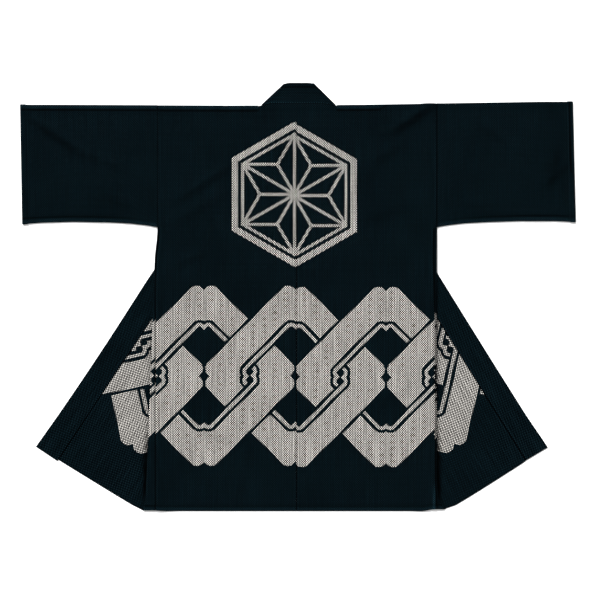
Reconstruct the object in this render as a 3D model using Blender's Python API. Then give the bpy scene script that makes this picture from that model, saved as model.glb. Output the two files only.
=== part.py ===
"""Happi coat laid flat, back up, with both fronts turned outward under it.

Five sewn pieces: two body lengths, each one cloth from the back hem over the shoulder to
the front hem, two straight sleeves and one doubled collar band. All sizes are millimetres
in the coat's own plan: x runs outward from the centre back seam, y upward from the
shoulder line, so the hem is negative, and z up from the surface the coat lies on.
"""

import math
from dataclasses import dataclass

import bpy

MM = 0.001

# Cloth and the layers it makes
CLOTH = 1.2                 # quilted cotton weave, single
BAND = 2.6                  # collar band, the same cloth doubled over its seam allowance
LAYER_GAP = 0.8             # air between layers that lie on each other
SEAM_GAP = 0.3              # between two sewn pieces
ROOM = CLOTH + LAYER_GAP    # rise of a layer over one cloth
BAND_ROOM = BAND + LAYER_GAP
COLLAR_TOP_Z = BAND_ROOM + 1.0

# Lengths along the body
BACK_LENGTH = 891.2         # shoulder line to hem
ARMHOLE_DEPTH = 268.0
NECK_RISE = 6.2             # back neck edge above the shoulder line
NECK_FLAT = 56.0            # half of the straight run of that edge
COLLAR_RISE = 48.2          # top of the collar above the shoulder line

# How the fronts are turned
CREASE_INSET = 10.0         # the crease meets the hem this far inside the fold edge
STRIP_START = 300.0         # below this depth front cloth shows past the side seam
COLLAR_OVERHANG = 2.0       # the band runs this far past the front hem

# Drape over the layers below
DRAPE_MARGIN = 42.0         # a layer stays up this far past what it lies on
DRAPE_RUN = 64.0            # and comes down over this length

# Mesh steps
ROW_STEP = 32.0
NECK_COLUMNS = 3
SHOULDER_COLUMNS = 8
FLAP_COLUMNS = 8
FOLD_STEPS = 3
SLEEVE_COLUMNS = 11
SLEEVE_ROWS = 10
BAND_COLUMNS = 3
COLLAR_FOLD_STEPS = 4
NECK_BAND_ROWS = 4

CLOTH_COLOUR = (0.0030, 0.0065, 0.0100, 1.0)
CLOTH_ROUGHNESS = 0.92


@dataclass(frozen=True)
class Half:
    """One side of the coat; the two differ by a few millimetres, as sewn and laid."""

    name: str
    sign: float             # -1 on the wearer's left, which is at -X
    neck_x: float           # where the shoulder fold starts
    shoulder_start: float   # height of the shoulder line at the neck
    shoulder_slope: float   # its rise for each millimetre outward
    arm_x: float            # armhole seam
    side_x: float           # side seam at the hem
    strip: float            # front cloth that shows past the side seam at the hem
    strip_even: float       # share of it that grows evenly, the rest near the hem
    turn_x: float           # where the crease leaves the collar seam
    turn_y: float
    flare: float            # collar seam of the turned front, degrees from vertical
    hem_slope: float        # hem of the turned front, degrees from level
    band_width: float
    cuff_top: float
    cuff_bottom: float
    collar_top_x: float     # corner of the collar's top edge
    collar_side_x: float    # where the collar's side meets the shoulder line


HALVES = (
    Half("left", -1.0, 84.0, -1.2, 0.004, 307.0, 309.8, 28.3, 0.87, 75.5, -104.5,
         33.66, 31.3, 56.0, 607.4, 602.8, 29.3, 79.9),
    Half("right", 1.0, 89.0, 0.0, 0.016, 307.0, 303.0, 20.0, 0.45, 78.8, -99.1,
         32.04, 31.2, 53.5, 607.6, 612.0, 35.6, 85.1),
)

# Lower edge of a sleeve: (share of its length from the armhole, depth below the shoulder)
SLEEVE_EDGE = (
    (0.00, 266.8),
    (0.08, 262.6),
    (0.20, 258.4),
    (0.36, 255.4),
    (0.62, 253.8),
    (0.85, 254.6),
    (1.00, 257.2),
)


@dataclass(frozen=True)
class SoftCrease:
    """A soft ridge in an upper layer, from one end to the other."""

    x0: float
    y0: float
    x1: float
    y1: float
    height: float
    width: float


SOFT_CREASES = (
    SoftCrease(-579.3, -27.5, -464.9, -112.2, 2.0, 26.0),
    SoftCrease(-275.7, -212.3, -128.3, -119.9, 1.6, 28.0),
    SoftCrease(203.9, -58.3, 274.3, -15.4, 1.6, 26.0),
    SoftCrease(544.9, -170.5, 595.5, -128.7, 1.6, 26.0),
    SoftCrease(-275.7, -355.3, -211.9, -322.3, 1.4, 26.0),
)


def smooth(start, end, value):
    """Return 0 before start, 1 after end and a soft step between them."""
    share = min(max((value - start) / (end - start), 0.0), 1.0)
    return share * share * (3.0 - 2.0 * share)


def lerp(a, b, share):
    return a + (b - a) * share


def steps(start, end, step):
    """Return evenly spaced values from start to end, no further apart than step."""
    count = max(1, math.ceil(abs(end - start) / step))
    return [lerp(start, end, i / count) for i in range(count + 1)]


def table_value(table, key):
    """Read a two-column table at key, straight between its rows."""
    for (k0, v0), (k1, v1) in zip(table, table[1:]):
        if key <= k1:
            return lerp(v0, v1, (key - k0) / (k1 - k0))
    return table[-1][1]


def line_distance(x, y, through_x, through_y, degrees):
    """Distance outward from a line that leans by degrees from vertical."""
    turn = math.radians(degrees)
    return (x - through_x) * math.cos(turn) + (y - through_y) * math.sin(turn)


def crease_height(x, y):
    """Height of the soft ridges of the upper layers at a plan point, x signed."""
    total = 0.0
    for crease in SOFT_CREASES:
        run_x = crease.x1 - crease.x0
        run_y = crease.y1 - crease.y0
        length = math.hypot(run_x, run_y)
        along = ((x - crease.x0) * run_x + (y - crease.y0) * run_y) / length
        aside = abs((x - crease.x0) * run_y - (y - crease.y0) * run_x) / length
        ends = smooth(-crease.width, crease.width, along)
        ends *= 1.0 - smooth(length - crease.width, length + crease.width, along)
        total += crease.height * ends * (1.0 - smooth(0.0, crease.width, aside))
    return total


def shoulder_y(half, x):
    return half.shoulder_start + half.shoulder_slope * max(x - half.neck_x, 0.0)


def neck_y(half, x):
    """Back neck edge: level in the middle, then down to the shoulder fold."""
    if x <= NECK_FLAT:
        return NECK_RISE
    share = min((x - NECK_FLAT) / (half.neck_x - NECK_FLAT), 1.0)
    return lerp(NECK_RISE, half.shoulder_start, share)


def fold_edge_x(half, depth):
    """Outer fold of the body below the armhole, the front's strip included."""
    side = lerp(half.arm_x - SEAM_GAP / 2, half.side_x, smooth(ARMHOLE_DEPTH, 340.0, depth))
    share = max((depth - STRIP_START) / (BACK_LENGTH - STRIP_START), 0.0)
    return side + half.strip * (half.strip_even * share + (1.0 - half.strip_even) * share ** 10)


def hem_corner_x(half):
    return half.side_x + half.strip


def crease_lean(half):
    run = hem_corner_x(half) - CREASE_INSET - half.turn_x
    return math.degrees(math.atan2(run, BACK_LENGTH + half.turn_y))


def crease_x(half, y):
    return half.turn_x + (half.turn_y - y) * math.tan(math.radians(crease_lean(half)))


def collar_seam_x(half, y):
    return half.turn_x + (half.turn_y - y) * math.tan(math.radians(half.flare))


def flap_hem_x(half, y):
    return hem_corner_x(half) + (y + BACK_LENGTH) / math.tan(math.radians(half.hem_slope))


def flap_corner_y(half):
    """Level where the turned front's hem meets its collar seam."""
    flare = math.tan(math.radians(half.flare))
    hem = 1.0 / math.tan(math.radians(half.hem_slope))
    run = half.turn_x + half.turn_y * flare - hem_corner_x(half) - BACK_LENGTH * hem
    return run / (hem + flare)


def low(half, x, y):
    """Underside of the lower layer: over the turned band, the turned front or the surface."""
    aside = line_distance(x, y, half.turn_x, half.turn_y, half.flare)
    if aside < 0.0:
        rise = smooth(-DRAPE_MARGIN - DRAPE_RUN, -DRAPE_MARGIN, aside)
        return lerp(ROOM, BAND_ROOM, rise)
    past = half.band_width + DRAPE_MARGIN
    return BAND_ROOM * (1.0 - smooth(past, past + DRAPE_RUN, aside))


def high(half, x, y):
    """Underside of the upper layer: over the lower one, or down on the surface."""
    inside = line_distance(x, y, half.turn_x, half.turn_y, crease_lean(half))
    lift = smooth(-DRAPE_MARGIN - DRAPE_RUN, -DRAPE_MARGIN, inside)
    return lift * (low(half, x, y) + ROOM) + crease_height(half.sign * x, y)


def arc(start, end, out, count):
    """Points of a half turn between two stacked points, bulging along out, ends left out."""
    radius = (start[2] - end[2]) / 2.0
    points = []
    for i in range(1, count):
        angle = math.pi * i / count
        push = abs(radius) * math.sin(angle)
        z = (start[2] + end[2]) / 2.0 + radius * math.cos(angle)
        points.append((lerp(start[0], end[0], i / count) + out[0] * push,
                       lerp(start[1], end[1], i / count) + out[1] * push, z))
    return points


class Cloth:
    """A middle surface of points and four-sided faces that becomes one wall."""

    def __init__(self):
        self.points = []
        self.faces = []

    def add(self, point):
        self.points.append(point)
        return len(self.points) - 1

    def add_row(self, points):
        return [None if point is None else self.add(point) for point in points]

    def join(self, row, next_row):
        """Fill the faces between two rows wherever all four corners exist."""
        for i in range(len(row) - 1):
            corners = (row[i], row[i + 1], next_row[i + 1], next_row[i])
            if None not in corners:
                self.faces.append(corners)

    def make(self, name, sign, thickness, material):
        """Make the named object: this surface with a wall of the given thickness."""
        mesh = bpy.data.meshes.new(name)
        mesh.from_pydata([place(x * sign, y, z) for x, y, z in self.points], [], self.faces)
        mesh.materials.append(material)
        obj = bpy.data.objects.new(name, mesh)
        bpy.context.scene.collection.objects.link(obj)
        wall = obj.modifiers.new("Wall", "SOLIDIFY")
        wall.thickness = thickness * MM
        wall.offset = 0.0
        wall.use_even_offset = True
        press_flat(obj)
        return obj


def press_flat(obj):
    """Apply the wall and level the hundredths by which its folds reach below the surface."""
    bpy.context.view_layer.update()
    evaluated = obj.evaluated_get(bpy.context.evaluated_depsgraph_get())
    wall = bpy.data.meshes.new_from_object(evaluated)
    for vertex in wall.vertices:
        vertex.co.z = max(vertex.co.z, 0.0)
    middle = obj.data
    obj.modifiers.clear()
    obj.data = wall
    bpy.data.meshes.remove(middle)
    wall.name = obj.name


def place(x, y, z):
    """Turn a plan point in millimetres into the part's frame, centred, in metres."""
    left, right = HALVES
    middle_x = (max(right.cuff_top, right.cuff_bottom) - max(left.cuff_top, left.cuff_bottom)) / 2.0
    middle_y = (COLLAR_RISE - BACK_LENGTH) / 2.0
    return ((x - middle_x) * MM, (y - middle_y) * MM, z * MM)


def cloth_material(name):
    material = bpy.data.materials.new(name)
    material.use_nodes = True
    shader = material.node_tree.nodes["Principled BSDF"]
    shader.inputs["Base Color"].default_value = CLOTH_COLOUR
    shader.inputs["Roughness"].default_value = CLOTH_ROUGHNESS
    shader.inputs["Metallic"].default_value = 0.0
    return material


def body_levels(half):
    """Row levels, with one at each place where the cut changes."""
    stops = (0.0, half.turn_y, -ARMHOLE_DEPTH, flap_corner_y(half), -BACK_LENGTH)
    levels = [0.0]
    for start, end in zip(stops, stops[1:]):
        levels += steps(start, end, ROW_STEP)[1:]
    return levels


def back_row(half, level):
    """Upper layer of one row, from the centre seam to the outer edge."""
    depth = -level
    if depth < ARMHOLE_DEPTH:
        edge = half.arm_x - SEAM_GAP / 2
    else:
        edge = fold_edge_x(half, depth) - ROOM / 2 - CLOTH / 2
    columns = steps(SEAM_GAP / 2, half.neck_x, half.neck_x / NECK_COLUMNS)
    columns = columns[:NECK_COLUMNS] + steps(half.neck_x, edge, (edge - half.neck_x) / SHOULDER_COLUMNS)
    fade = max(0.0, 1.0 - depth / -half.turn_y)
    row = []
    for x in columns:
        top = neck_y(half, x) if x < half.neck_x else shoulder_y(half, x)
        y = level + top * fade
        row.append((x, y, high(half, x, y) + CLOTH / 2))
    return row


def under_row(half, level, outer):
    """Lower layer of one row, from below the outer edge in to the neck edge or crease."""
    depth = -level
    if level > half.turn_y:
        inner = lerp(half.neck_x, half.turn_x, depth / -half.turn_y)
    else:
        inner = crease_x(half, level) + ROOM / 2 + CLOTH / 2
    fade = max(0.0, 1.0 - depth / -half.turn_y)
    row = []
    for x in steps(outer, inner, (outer - inner) / SHOULDER_COLUMNS)[:SHOULDER_COLUMNS + 1]:
        y = level + shoulder_y(half, x) * fade
        row.append((x, y, low(half, x, y) + CLOTH / 2))
    return row


def flap_row(half, level, inner):
    """Turned front of one row, on the surface, from the crease out to seam or hem."""
    outer = collar_seam_x(half, level) - SEAM_GAP / math.cos(math.radians(half.flare))
    if level < flap_corner_y(half):
        outer = min(outer, flap_hem_x(half, level))
    return [(lerp(inner, outer, i / FLAP_COLUMNS), level, CLOTH / 2)
            for i in range(FLAP_COLUMNS + 1)]


def build_body(half):
    """One body length: back, shoulder fold, front, side fold and the turned front."""
    cloth = Cloth()
    rows = []
    for level in body_levels(half):
        back = back_row(half, level)
        under = under_row(half, level, back[-1][0])
        side = [None] * (FOLD_STEPS - 1)
        turn = [None] * (FOLD_STEPS - 1)
        flap = [None] * (FLAP_COLUMNS + 1)
        if -level >= ARMHOLE_DEPTH:
            side = arc(back[-1], under[0], (1.0, 0.0), FOLD_STEPS)
        if level < half.turn_y - ROW_STEP / 2:
            flap = flap_row(half, level, under[-1][0])
            turn = arc(under[-1], flap[0], (-1.0, 0.0), FOLD_STEPS)
        rows.append(cloth.add_row(back + side + under + turn + flap))
    for row, next_row in zip(rows, rows[1:]):
        cloth.join(row, next_row)

    first_under = NECK_COLUMNS + SHOULDER_COLUMNS + 1 + FOLD_STEPS - 1
    upper = rows[0][NECK_COLUMNS:NECK_COLUMNS + SHOULDER_COLUMNS + 1]
    lower = rows[0][first_under:first_under + SHOULDER_COLUMNS + 1][::-1]
    columns = []
    for top, bottom in zip(upper, lower):
        fold = arc(cloth.points[bottom], cloth.points[top], (0.0, 1.0), FOLD_STEPS)
        columns.append([bottom] + cloth.add_row(fold) + [top])
    for i in range(FOLD_STEPS):
        cloth.join([column[i] for column in columns], [column[i + 1] for column in columns])
    material = cloth_material(f"body_{half.name}_cotton")
    return cloth.make(f"body_{half.name}", half.sign, CLOTH, material)


def build_sleeve(half):
    """One sleeve: a flattened tube, folded above and sewn below, open at both ends."""
    cloth = Cloth()
    rings = []
    start = half.arm_x + SEAM_GAP / 2
    for i in range(SLEEVE_COLUMNS + 1):
        share = i / SLEEVE_COLUMNS
        middle = lerp(start, half.cuff_top, share)
        inset = (ROOM + CLOTH) / 2
        top = shoulder_y(half, middle) + CLOTH / 2
        bottom = inset - table_value(SLEEVE_EDGE, share)
        lower = []
        upper = []
        for y in steps(bottom, top, (top - bottom) / SLEEVE_ROWS)[:SLEEVE_ROWS + 1]:
            cuff = lerp(half.cuff_top, half.cuff_bottom, (top - y) / (top - bottom))
            x = lerp(start, cuff, share)
            lower.append((x, y, low(half, x, y) + CLOTH / 2))
            upper.append((x, y, high(half, x, y) + CLOTH / 2))
        upper.reverse()
        fold = arc(lower[-1], upper[0], (0.0, 1.0), FOLD_STEPS)
        seam = arc(upper[-1], lower[0], (0.0, -1.0), FOLD_STEPS)
        ring = cloth.add_row(lower + fold + upper + seam)
        rings.append(ring + ring[:1])
    for ring, next_ring in zip(rings, rings[1:]):
        cloth.join(ring, next_ring)
    material = cloth_material(f"sleeve_{half.name}_cotton")
    return cloth.make(f"sleeve_{half.name}", half.sign, CLOTH, material)


def collar_fold_line(half):
    """Ends of the slanted fold beside the neck: (x, y) below, then at the top edge."""
    lean = (half.collar_side_x - half.collar_top_x) / COLLAR_RISE
    bulge = (COLLAR_TOP_Z / 2) + (BAND / 2) / math.cos(math.atan(lean))
    top = (half.collar_top_x - bulge, COLLAR_RISE - BAND / 2 * math.sin(math.atan(lean)))
    foot_y = NECK_RISE / 2
    foot_x = half.collar_top_x + (COLLAR_RISE - foot_y) * lean - bulge
    return (foot_x, neck_y(half, foot_x) + 1.5 * SEAM_GAP), top


def collar_neck_rows(cloth):
    """Band behind the neck, upper layer, between the two slanted folds."""
    left, right = HALVES
    (left_foot, left_top), (right_foot, right_top) = collar_fold_line(left), collar_fold_line(right)
    feet = [-left_foot[0], -NECK_FLAT, -NECK_FLAT / 2, 0.0, NECK_FLAT / 2, NECK_FLAT, right_foot[0]]
    rows = []
    for i in range(BAND_COLUMNS + 1):
        share = i / BAND_COLUMNS
        row = []
        for foot in feet:
            half = left if foot < 0.0 else right
            across = (foot - feet[0]) / (feet[-1] - feet[0])
            top_x = lerp(-left_top[0], right_top[0], across)
            seam_y = neck_y(half, abs(foot)) + 1.5 * SEAM_GAP
            top_y = collar_fold_line(half)[1][1] if foot in (feet[0], feet[-1]) else COLLAR_RISE
            row.append((lerp(foot, top_x, share), lerp(seam_y, top_y, share),
                        COLLAR_TOP_Z + BAND / 2))
        rows.append(row)
    grid = [cloth.add_row(row) for row in rows]
    for row, next_row in zip(grid, grid[1:]):
        cloth.join(row, next_row)
    return grid


def collar_leg_rows(half):
    """Turned band on the surface: rows from the neck fold to the front hem, inner edge first."""
    foot, top = collar_fold_line(half)
    turn = math.radians(half.flare)
    out = (half.band_width * math.cos(turn), half.band_width * math.sin(turn))
    end_y = flap_corner_y(half)
    end = (collar_seam_x(half, end_y) + COLLAR_OVERHANG * math.sin(turn),
           end_y - COLLAR_OVERHANG * math.cos(turn))
    start = (half.turn_x, half.turn_y)
    rows = []
    for i in range(1, NECK_BAND_ROWS + 1):
        share = i / NECK_BAND_ROWS
        inner = (lerp(top[0], start[0], share), lerp(top[1], start[1], share))
        outer = (lerp(foot[0], start[0] + out[0], share), lerp(foot[1], start[1] + out[1], share))
        rows.append((inner, outer))
    count = math.ceil(math.dist(start, end) / ROW_STEP)
    for i in range(1, count + 1):
        inner = (lerp(start[0], end[0], i / count), lerp(start[1], end[1], i / count))
        rows.append((inner, (inner[0] + out[0], inner[1] + out[1])))
    return rows


def build_collar():
    """The collar: neck part above, a slanted fold each side, two legs down the fronts."""
    cloth = Cloth()
    grid = collar_neck_rows(cloth)
    for half in HALVES:
        edge = [row[0] if half.sign < 0.0 else row[-1] for row in grid]
        points = [cloth.points[i] for i in edge]
        floor = [(x, y, BAND / 2) for x, y, _ in points]
        folds = [arc(a, b, (half.sign, 0.0), COLLAR_FOLD_STEPS) for a, b in zip(points, floor)]
        rows = [edge]
        rows += [cloth.add_row([fold[i] for fold in folds]) for i in range(COLLAR_FOLD_STEPS - 1)]
        rows.append(cloth.add_row(floor))
        for inner, outer in collar_leg_rows(half):
            row = [(half.sign * lerp(outer[0], inner[0], i / BAND_COLUMNS),
                    lerp(outer[1], inner[1], i / BAND_COLUMNS), BAND / 2)
                   for i in range(BAND_COLUMNS + 1)]
            rows.append(cloth.add_row(row))
        if half.sign > 0.0:
            rows.reverse()
        for row, next_row in zip(rows, rows[1:]):
            cloth.join(row, next_row)
    return cloth.make("collar", 1.0, BAND, cloth_material("collar_cotton"))


def main():
    for obj in list(bpy.data.objects):
        bpy.data.objects.remove(obj)
    for half in HALVES:
        build_body(half)
        build_sleeve(half)
    build_collar()


main()
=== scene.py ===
"""Happi coat laid flat with its back up: its cloth, dye, sewing, light and camera.

Plan sizes are millimetres: x outward from the centre back seam, y upward from the shoulder
line, so the hem is negative, z up from the surface. Meshes are made in metres in the
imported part's frame.
"""

from __future__ import annotations

import logging
import math
from dataclasses import dataclass, field, replace
from enum import Enum
from typing import Iterable, Optional, Sequence

import bpy
from mathutils import Matrix, Vector


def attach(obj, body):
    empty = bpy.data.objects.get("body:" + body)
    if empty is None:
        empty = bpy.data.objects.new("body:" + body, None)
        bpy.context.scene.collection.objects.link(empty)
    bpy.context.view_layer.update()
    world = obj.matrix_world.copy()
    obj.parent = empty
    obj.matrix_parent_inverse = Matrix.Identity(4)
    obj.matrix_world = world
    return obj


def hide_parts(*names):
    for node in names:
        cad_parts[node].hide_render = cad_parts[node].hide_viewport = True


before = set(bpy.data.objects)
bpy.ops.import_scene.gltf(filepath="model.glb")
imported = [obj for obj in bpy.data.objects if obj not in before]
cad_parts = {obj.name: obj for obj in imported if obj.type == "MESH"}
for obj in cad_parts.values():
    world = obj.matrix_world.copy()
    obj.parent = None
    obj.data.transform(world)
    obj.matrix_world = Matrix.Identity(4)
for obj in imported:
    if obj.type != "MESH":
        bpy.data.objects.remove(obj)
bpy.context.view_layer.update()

Point = tuple[float, float, float]
Flat = tuple[float, float]

MM = 0.001
LOG = logging.getLogger("happi_coat")


class Finish(Enum):
    """Names of the pieces' finishes."""

    BODY = "body_cotton"
    SLEEVE = "sleeve_cotton"
    COLLAR = "collar_cotton"


@dataclass(frozen=True)
class CoatPlan:
    """Sizes that all pieces share."""

    cloth: float = 1.2              # quilted weave, single
    doubled: float = 2.1            # where a hem is turned up under it
    allowance: float = 0.5          # rise over a seam allowance
    band: float = 2.6               # collar band
    layer_gap: float = 0.6
    seam_gap: float = 0.008
    back_length: float = 891.2
    armhole: float = 268.0
    neck_rise: float = 6.2
    neck_flat: float = 56.0
    collar_rise: float = 48.2
    crease_inset: float = 10.0
    strip_start: float = 300.0
    hem_line: float = 0.9           # where the hem's pressed line lies, against other lines
    shoulder_level: float = 540.0   # the shoulder fold runs level from here out
    collar_lift: float = 2.2        # crown of the collar over its straight top
    bow_start: float = 0.47         # where along a collar end its bow begins
    drape_margin: float = 12.0      # a layer stays up this far past what it lies on
    neck_margin: float = 44.0       # and this far beside the collar
    drape_run: float = 58.0
    hem_turn: float = 12.0          # width of a turned hem or seam allowance
    front_tone: float = 0.88        # light of the undyed cotton of the fronts
    step: float = 6.4               # mesh step away from edges
    fold_steps: int = 5

    @property
    def room(self) -> float:
        """Rise of a layer over one cloth."""
        return self.cloth + self.layer_gap

    @property
    def band_room(self) -> float:
        """Rise of a layer over the collar band."""
        return self.band + self.layer_gap


PLAN = CoatPlan()

EDGE_OFFSETS = (0.0, 0.4, 1.2, 2.8)
HEM_OFFSETS = (0.0, 0.4, 1.2, 3.0, 6.5, 10.0, 11.4, 12.6, 14.6)
STRIP_OFFSETS = (0.0, 0.7, 2.0)
FAR = 40.0                          # a distance past which no edge counts
EDGE_WALLS = ((0.0, 0.40), (0.4, 0.78), (1.2, 1.0))
ALLOWANCE_END = (9.5, 13.5)         # a seam allowance ends between these distances from its seam
CREVICE_START = (690.0, 765.0)      # depths over which the side fold comes to stand off the front
CREVICE_END = (838.0, 868.0)        # and those over which it lies down again
CREVICE_RISE = 2.2
FOLD_SHADE = (0.40, 0.94)           # shade beside the side fold, where it lies and where it stands off
FOLD_REACH = (7.5, 10.0)            # and how far the shade reaches
CORNER_HEIGHT = 60.0                # the hem's corner curves up within this height of the hem
CORNER_START = (-52.0, -22.0)       # and between these distances past the corner
CORNER_END = (2.0, 28.0)


def smooth(start: float, end: float, value: float) -> float:
    """Return 0 at start, 1 at end and a soft step between them."""
    share = min(max((value - start) / (end - start), 0.0), 1.0)
    return share * share * (3.0 - 2.0 * share)


def lerp(a: float, b: float, share: float) -> float:
    """Return the value that lies share of the way from a to b."""
    return a + (b - a) * share


def bump_at(value: float, middle: float, width: float) -> float:
    """Return 1 at middle, falling off softly over width on both sides."""
    return math.exp(-((value - middle) / width) ** 2)


def table_value(table: Sequence[Flat], key: float) -> float:
    """Read a two-column table at key, straight between its rows."""
    for (k0, v0), (k1, v1) in zip(table, table[1:]):
        if key <= k1:
            return lerp(v0, v1, (key - k0) / (k1 - k0))
    return table[-1][1]


def stations(start: float, end: float, near_start: Sequence[float] = (0.0,),
             near_end: Sequence[float] = (0.0,), count: int = 0) -> list[float]:
    """Return values from start to end, close together near the ends.

    Args:
        start: First value.
        end: Last value, above or below start.
        near_start: Distances from start that get a value of their own.
        near_end: The same from end.
        count: Number of even steps between them; 0 works it out from the mesh step.

    Returns:
        The values in order, start and end among them.
    """
    way = 1.0 if end > start else -1.0
    head = [start + way * offset for offset in near_start]
    tail = [end - way * offset for offset in reversed(near_end)]
    gap = tail[0] - head[-1]
    number = count or max(1, math.ceil(abs(gap) / PLAN.step))
    return head[:-1] + [head[-1] + gap * i / number for i in range(number + 1)] + tail[1:]


def scaled_stations(start: float, end: float, near_end: Sequence[float], count: int) -> list[float]:
    """Return stations whose spacing near the end shrinks where there is little room."""
    scale = min(1.0, abs(end - start) / 60.0)
    return stations(start, end, (0.0,), [offset * scale for offset in near_end], count)


def squeezed(values: Sequence[float], start: float, end: float) -> list[float]:
    """Fit values into start to end in proportion."""
    low, high = values[0], values[-1]
    return [lerp(start, end, (value - low) / (high - low)) for value in values]


@dataclass(frozen=True)
class SoftCrease:
    """A soft ridge, or a trough where height is negative, between two plan points."""

    x0: float
    y0: float
    x1: float
    y1: float
    height: float
    width: float
    shade: float = 0.0              # painted shade on its lower flank, the side away from the light; below zero a painted highlight

    def profile(self, x: float, y: float) -> Flat:
        """Return the distance below its line and the share of its strength there."""
        run_x, run_y = self.x1 - self.x0, self.y1 - self.y0
        length = math.hypot(run_x, run_y)
        below = ((x - self.x0) * run_y - (y - self.y0) * run_x) / length
        along = ((x - self.x0) * run_x + (y - self.y0) * run_y) / length
        ends = smooth(-8.0, length * 0.4, along) * (1.0 - smooth(length * 0.6, length + 8.0, along))
        return below, ends

    def height_at(self, x: float, y: float) -> float:
        """Return its height at a plan point, x signed."""
        below, ends = self.profile(x, y)
        return self.height * ends * (1.0 - smooth(0.0, self.width, abs(below)))

    def light_at(self, x: float, y: float) -> float:
        """Return the share of light that its lower flank leaves at a plan point."""
        below, ends = self.profile(x, y)
        aside = abs(below - 0.4 * self.width)
        return 1.0 - self.shade * ends * (1.0 - smooth(0.0, 0.8 * self.width, aside))


UPPER_CREASES = (
    SoftCrease(-612.0, -6.0, -440.0, -122.0, 4.2, 15.0, 0.42),
    SoftCrease(-470.0, -98.0, -372.0, -140.0, 2.0, 17.0, 0.20),
    SoftCrease(-575.0, -58.0, -455.0, -142.0, -1.4, 16.0),
    SoftCrease(-292.0, -226.0, -118.0, -112.0, 3.4, 15.0, 0.28),
    SoftCrease(-292.0, -270.0, -150.0, -182.0, 2.2, 19.0, 0.18),
    SoftCrease(-275.7, -355.3, -190.0, -312.0, 2.4, 15.0, 0.22),
    SoftCrease(190.0, -68.0, 318.0, 18.0, 4.2, 17.0, 0.58),
    SoftCrease(150.0, -134.0, 245.0, -70.0, 2.0, 19.0, 0.20),
    SoftCrease(536.0, -180.0, 604.0, -120.0, 3.4, 12.0, 0.30),
    SoftCrease(540.0, -196.0, 576.0, -60.0, 1.6, 24.0, 0.26),
    SoftCrease(400.0, -30.0, 476.0, -90.0, 1.8, 20.0, 0.22),
    SoftCrease(-60.0, -330.0, 70.0, -372.0, 1.2, 24.0, 0.12),
    SoftCrease(120.0, -256.0, 266.0, -205.0, 1.5, 22.0, 0.16),
    SoftCrease(-230.0, -700.0, -120.0, -742.0, 1.2, 22.0, 0.12),
    SoftCrease(150.0, -668.0, 258.0, -604.0, 1.2, 24.0, 0.12),
    SoftCrease(350.0, -205.0, 450.0, -228.0, 1.5, 17.0, 0.18),
    SoftCrease(-430.0, -190.0, -340.0, -228.0, 1.6, 18.0, 0.18),
    # painted highlight beside the ridge at the right hem corner
    SoftCrease(303.5, -832.0, 303.5, -900.0, 2.8, 5.0, -3.0),
)
UNDER_CREASES = (
    SoftCrease(-560.0, -80.0, -450.0, -170.0, 0.7, 16.0),
    SoftCrease(450.0, -60.0, 560.0, -150.0, 0.7, 16.0),
    SoftCrease(-285.0, -60.0, -190.0, -150.0, 0.6, 18.0),
    SoftCrease(180.0, -90.0, 270.0, -160.0, 0.6, 18.0),
)
# Broad unevenness of cloth that has been pressed and laid down: (wave in x, in y, shift, height)
SWELLS = (
    (310.0, 470.0, 0.4, 0.30),
    (-190.0, 260.0, 2.1, 0.22),
    (120.0, 150.0, 4.4, 0.14),
    (88.0, -230.0, 1.2, 0.12),
)


def crease_light(x: float, y: float) -> float:
    """Return the share of light that the creases of the upper layer leave at a plan point."""
    return math.prod(crease.light_at(x, y) for crease in UPPER_CREASES)


def swell(x: float, y: float) -> float:
    """Return the broad unevenness at a plan point, never below zero."""
    total = 0.0
    for wave_x, wave_y, shift, height in SWELLS:
        total += height * (1.0 + math.sin(math.tau * (x / wave_x + y / wave_y) + shift))
    return total


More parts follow.
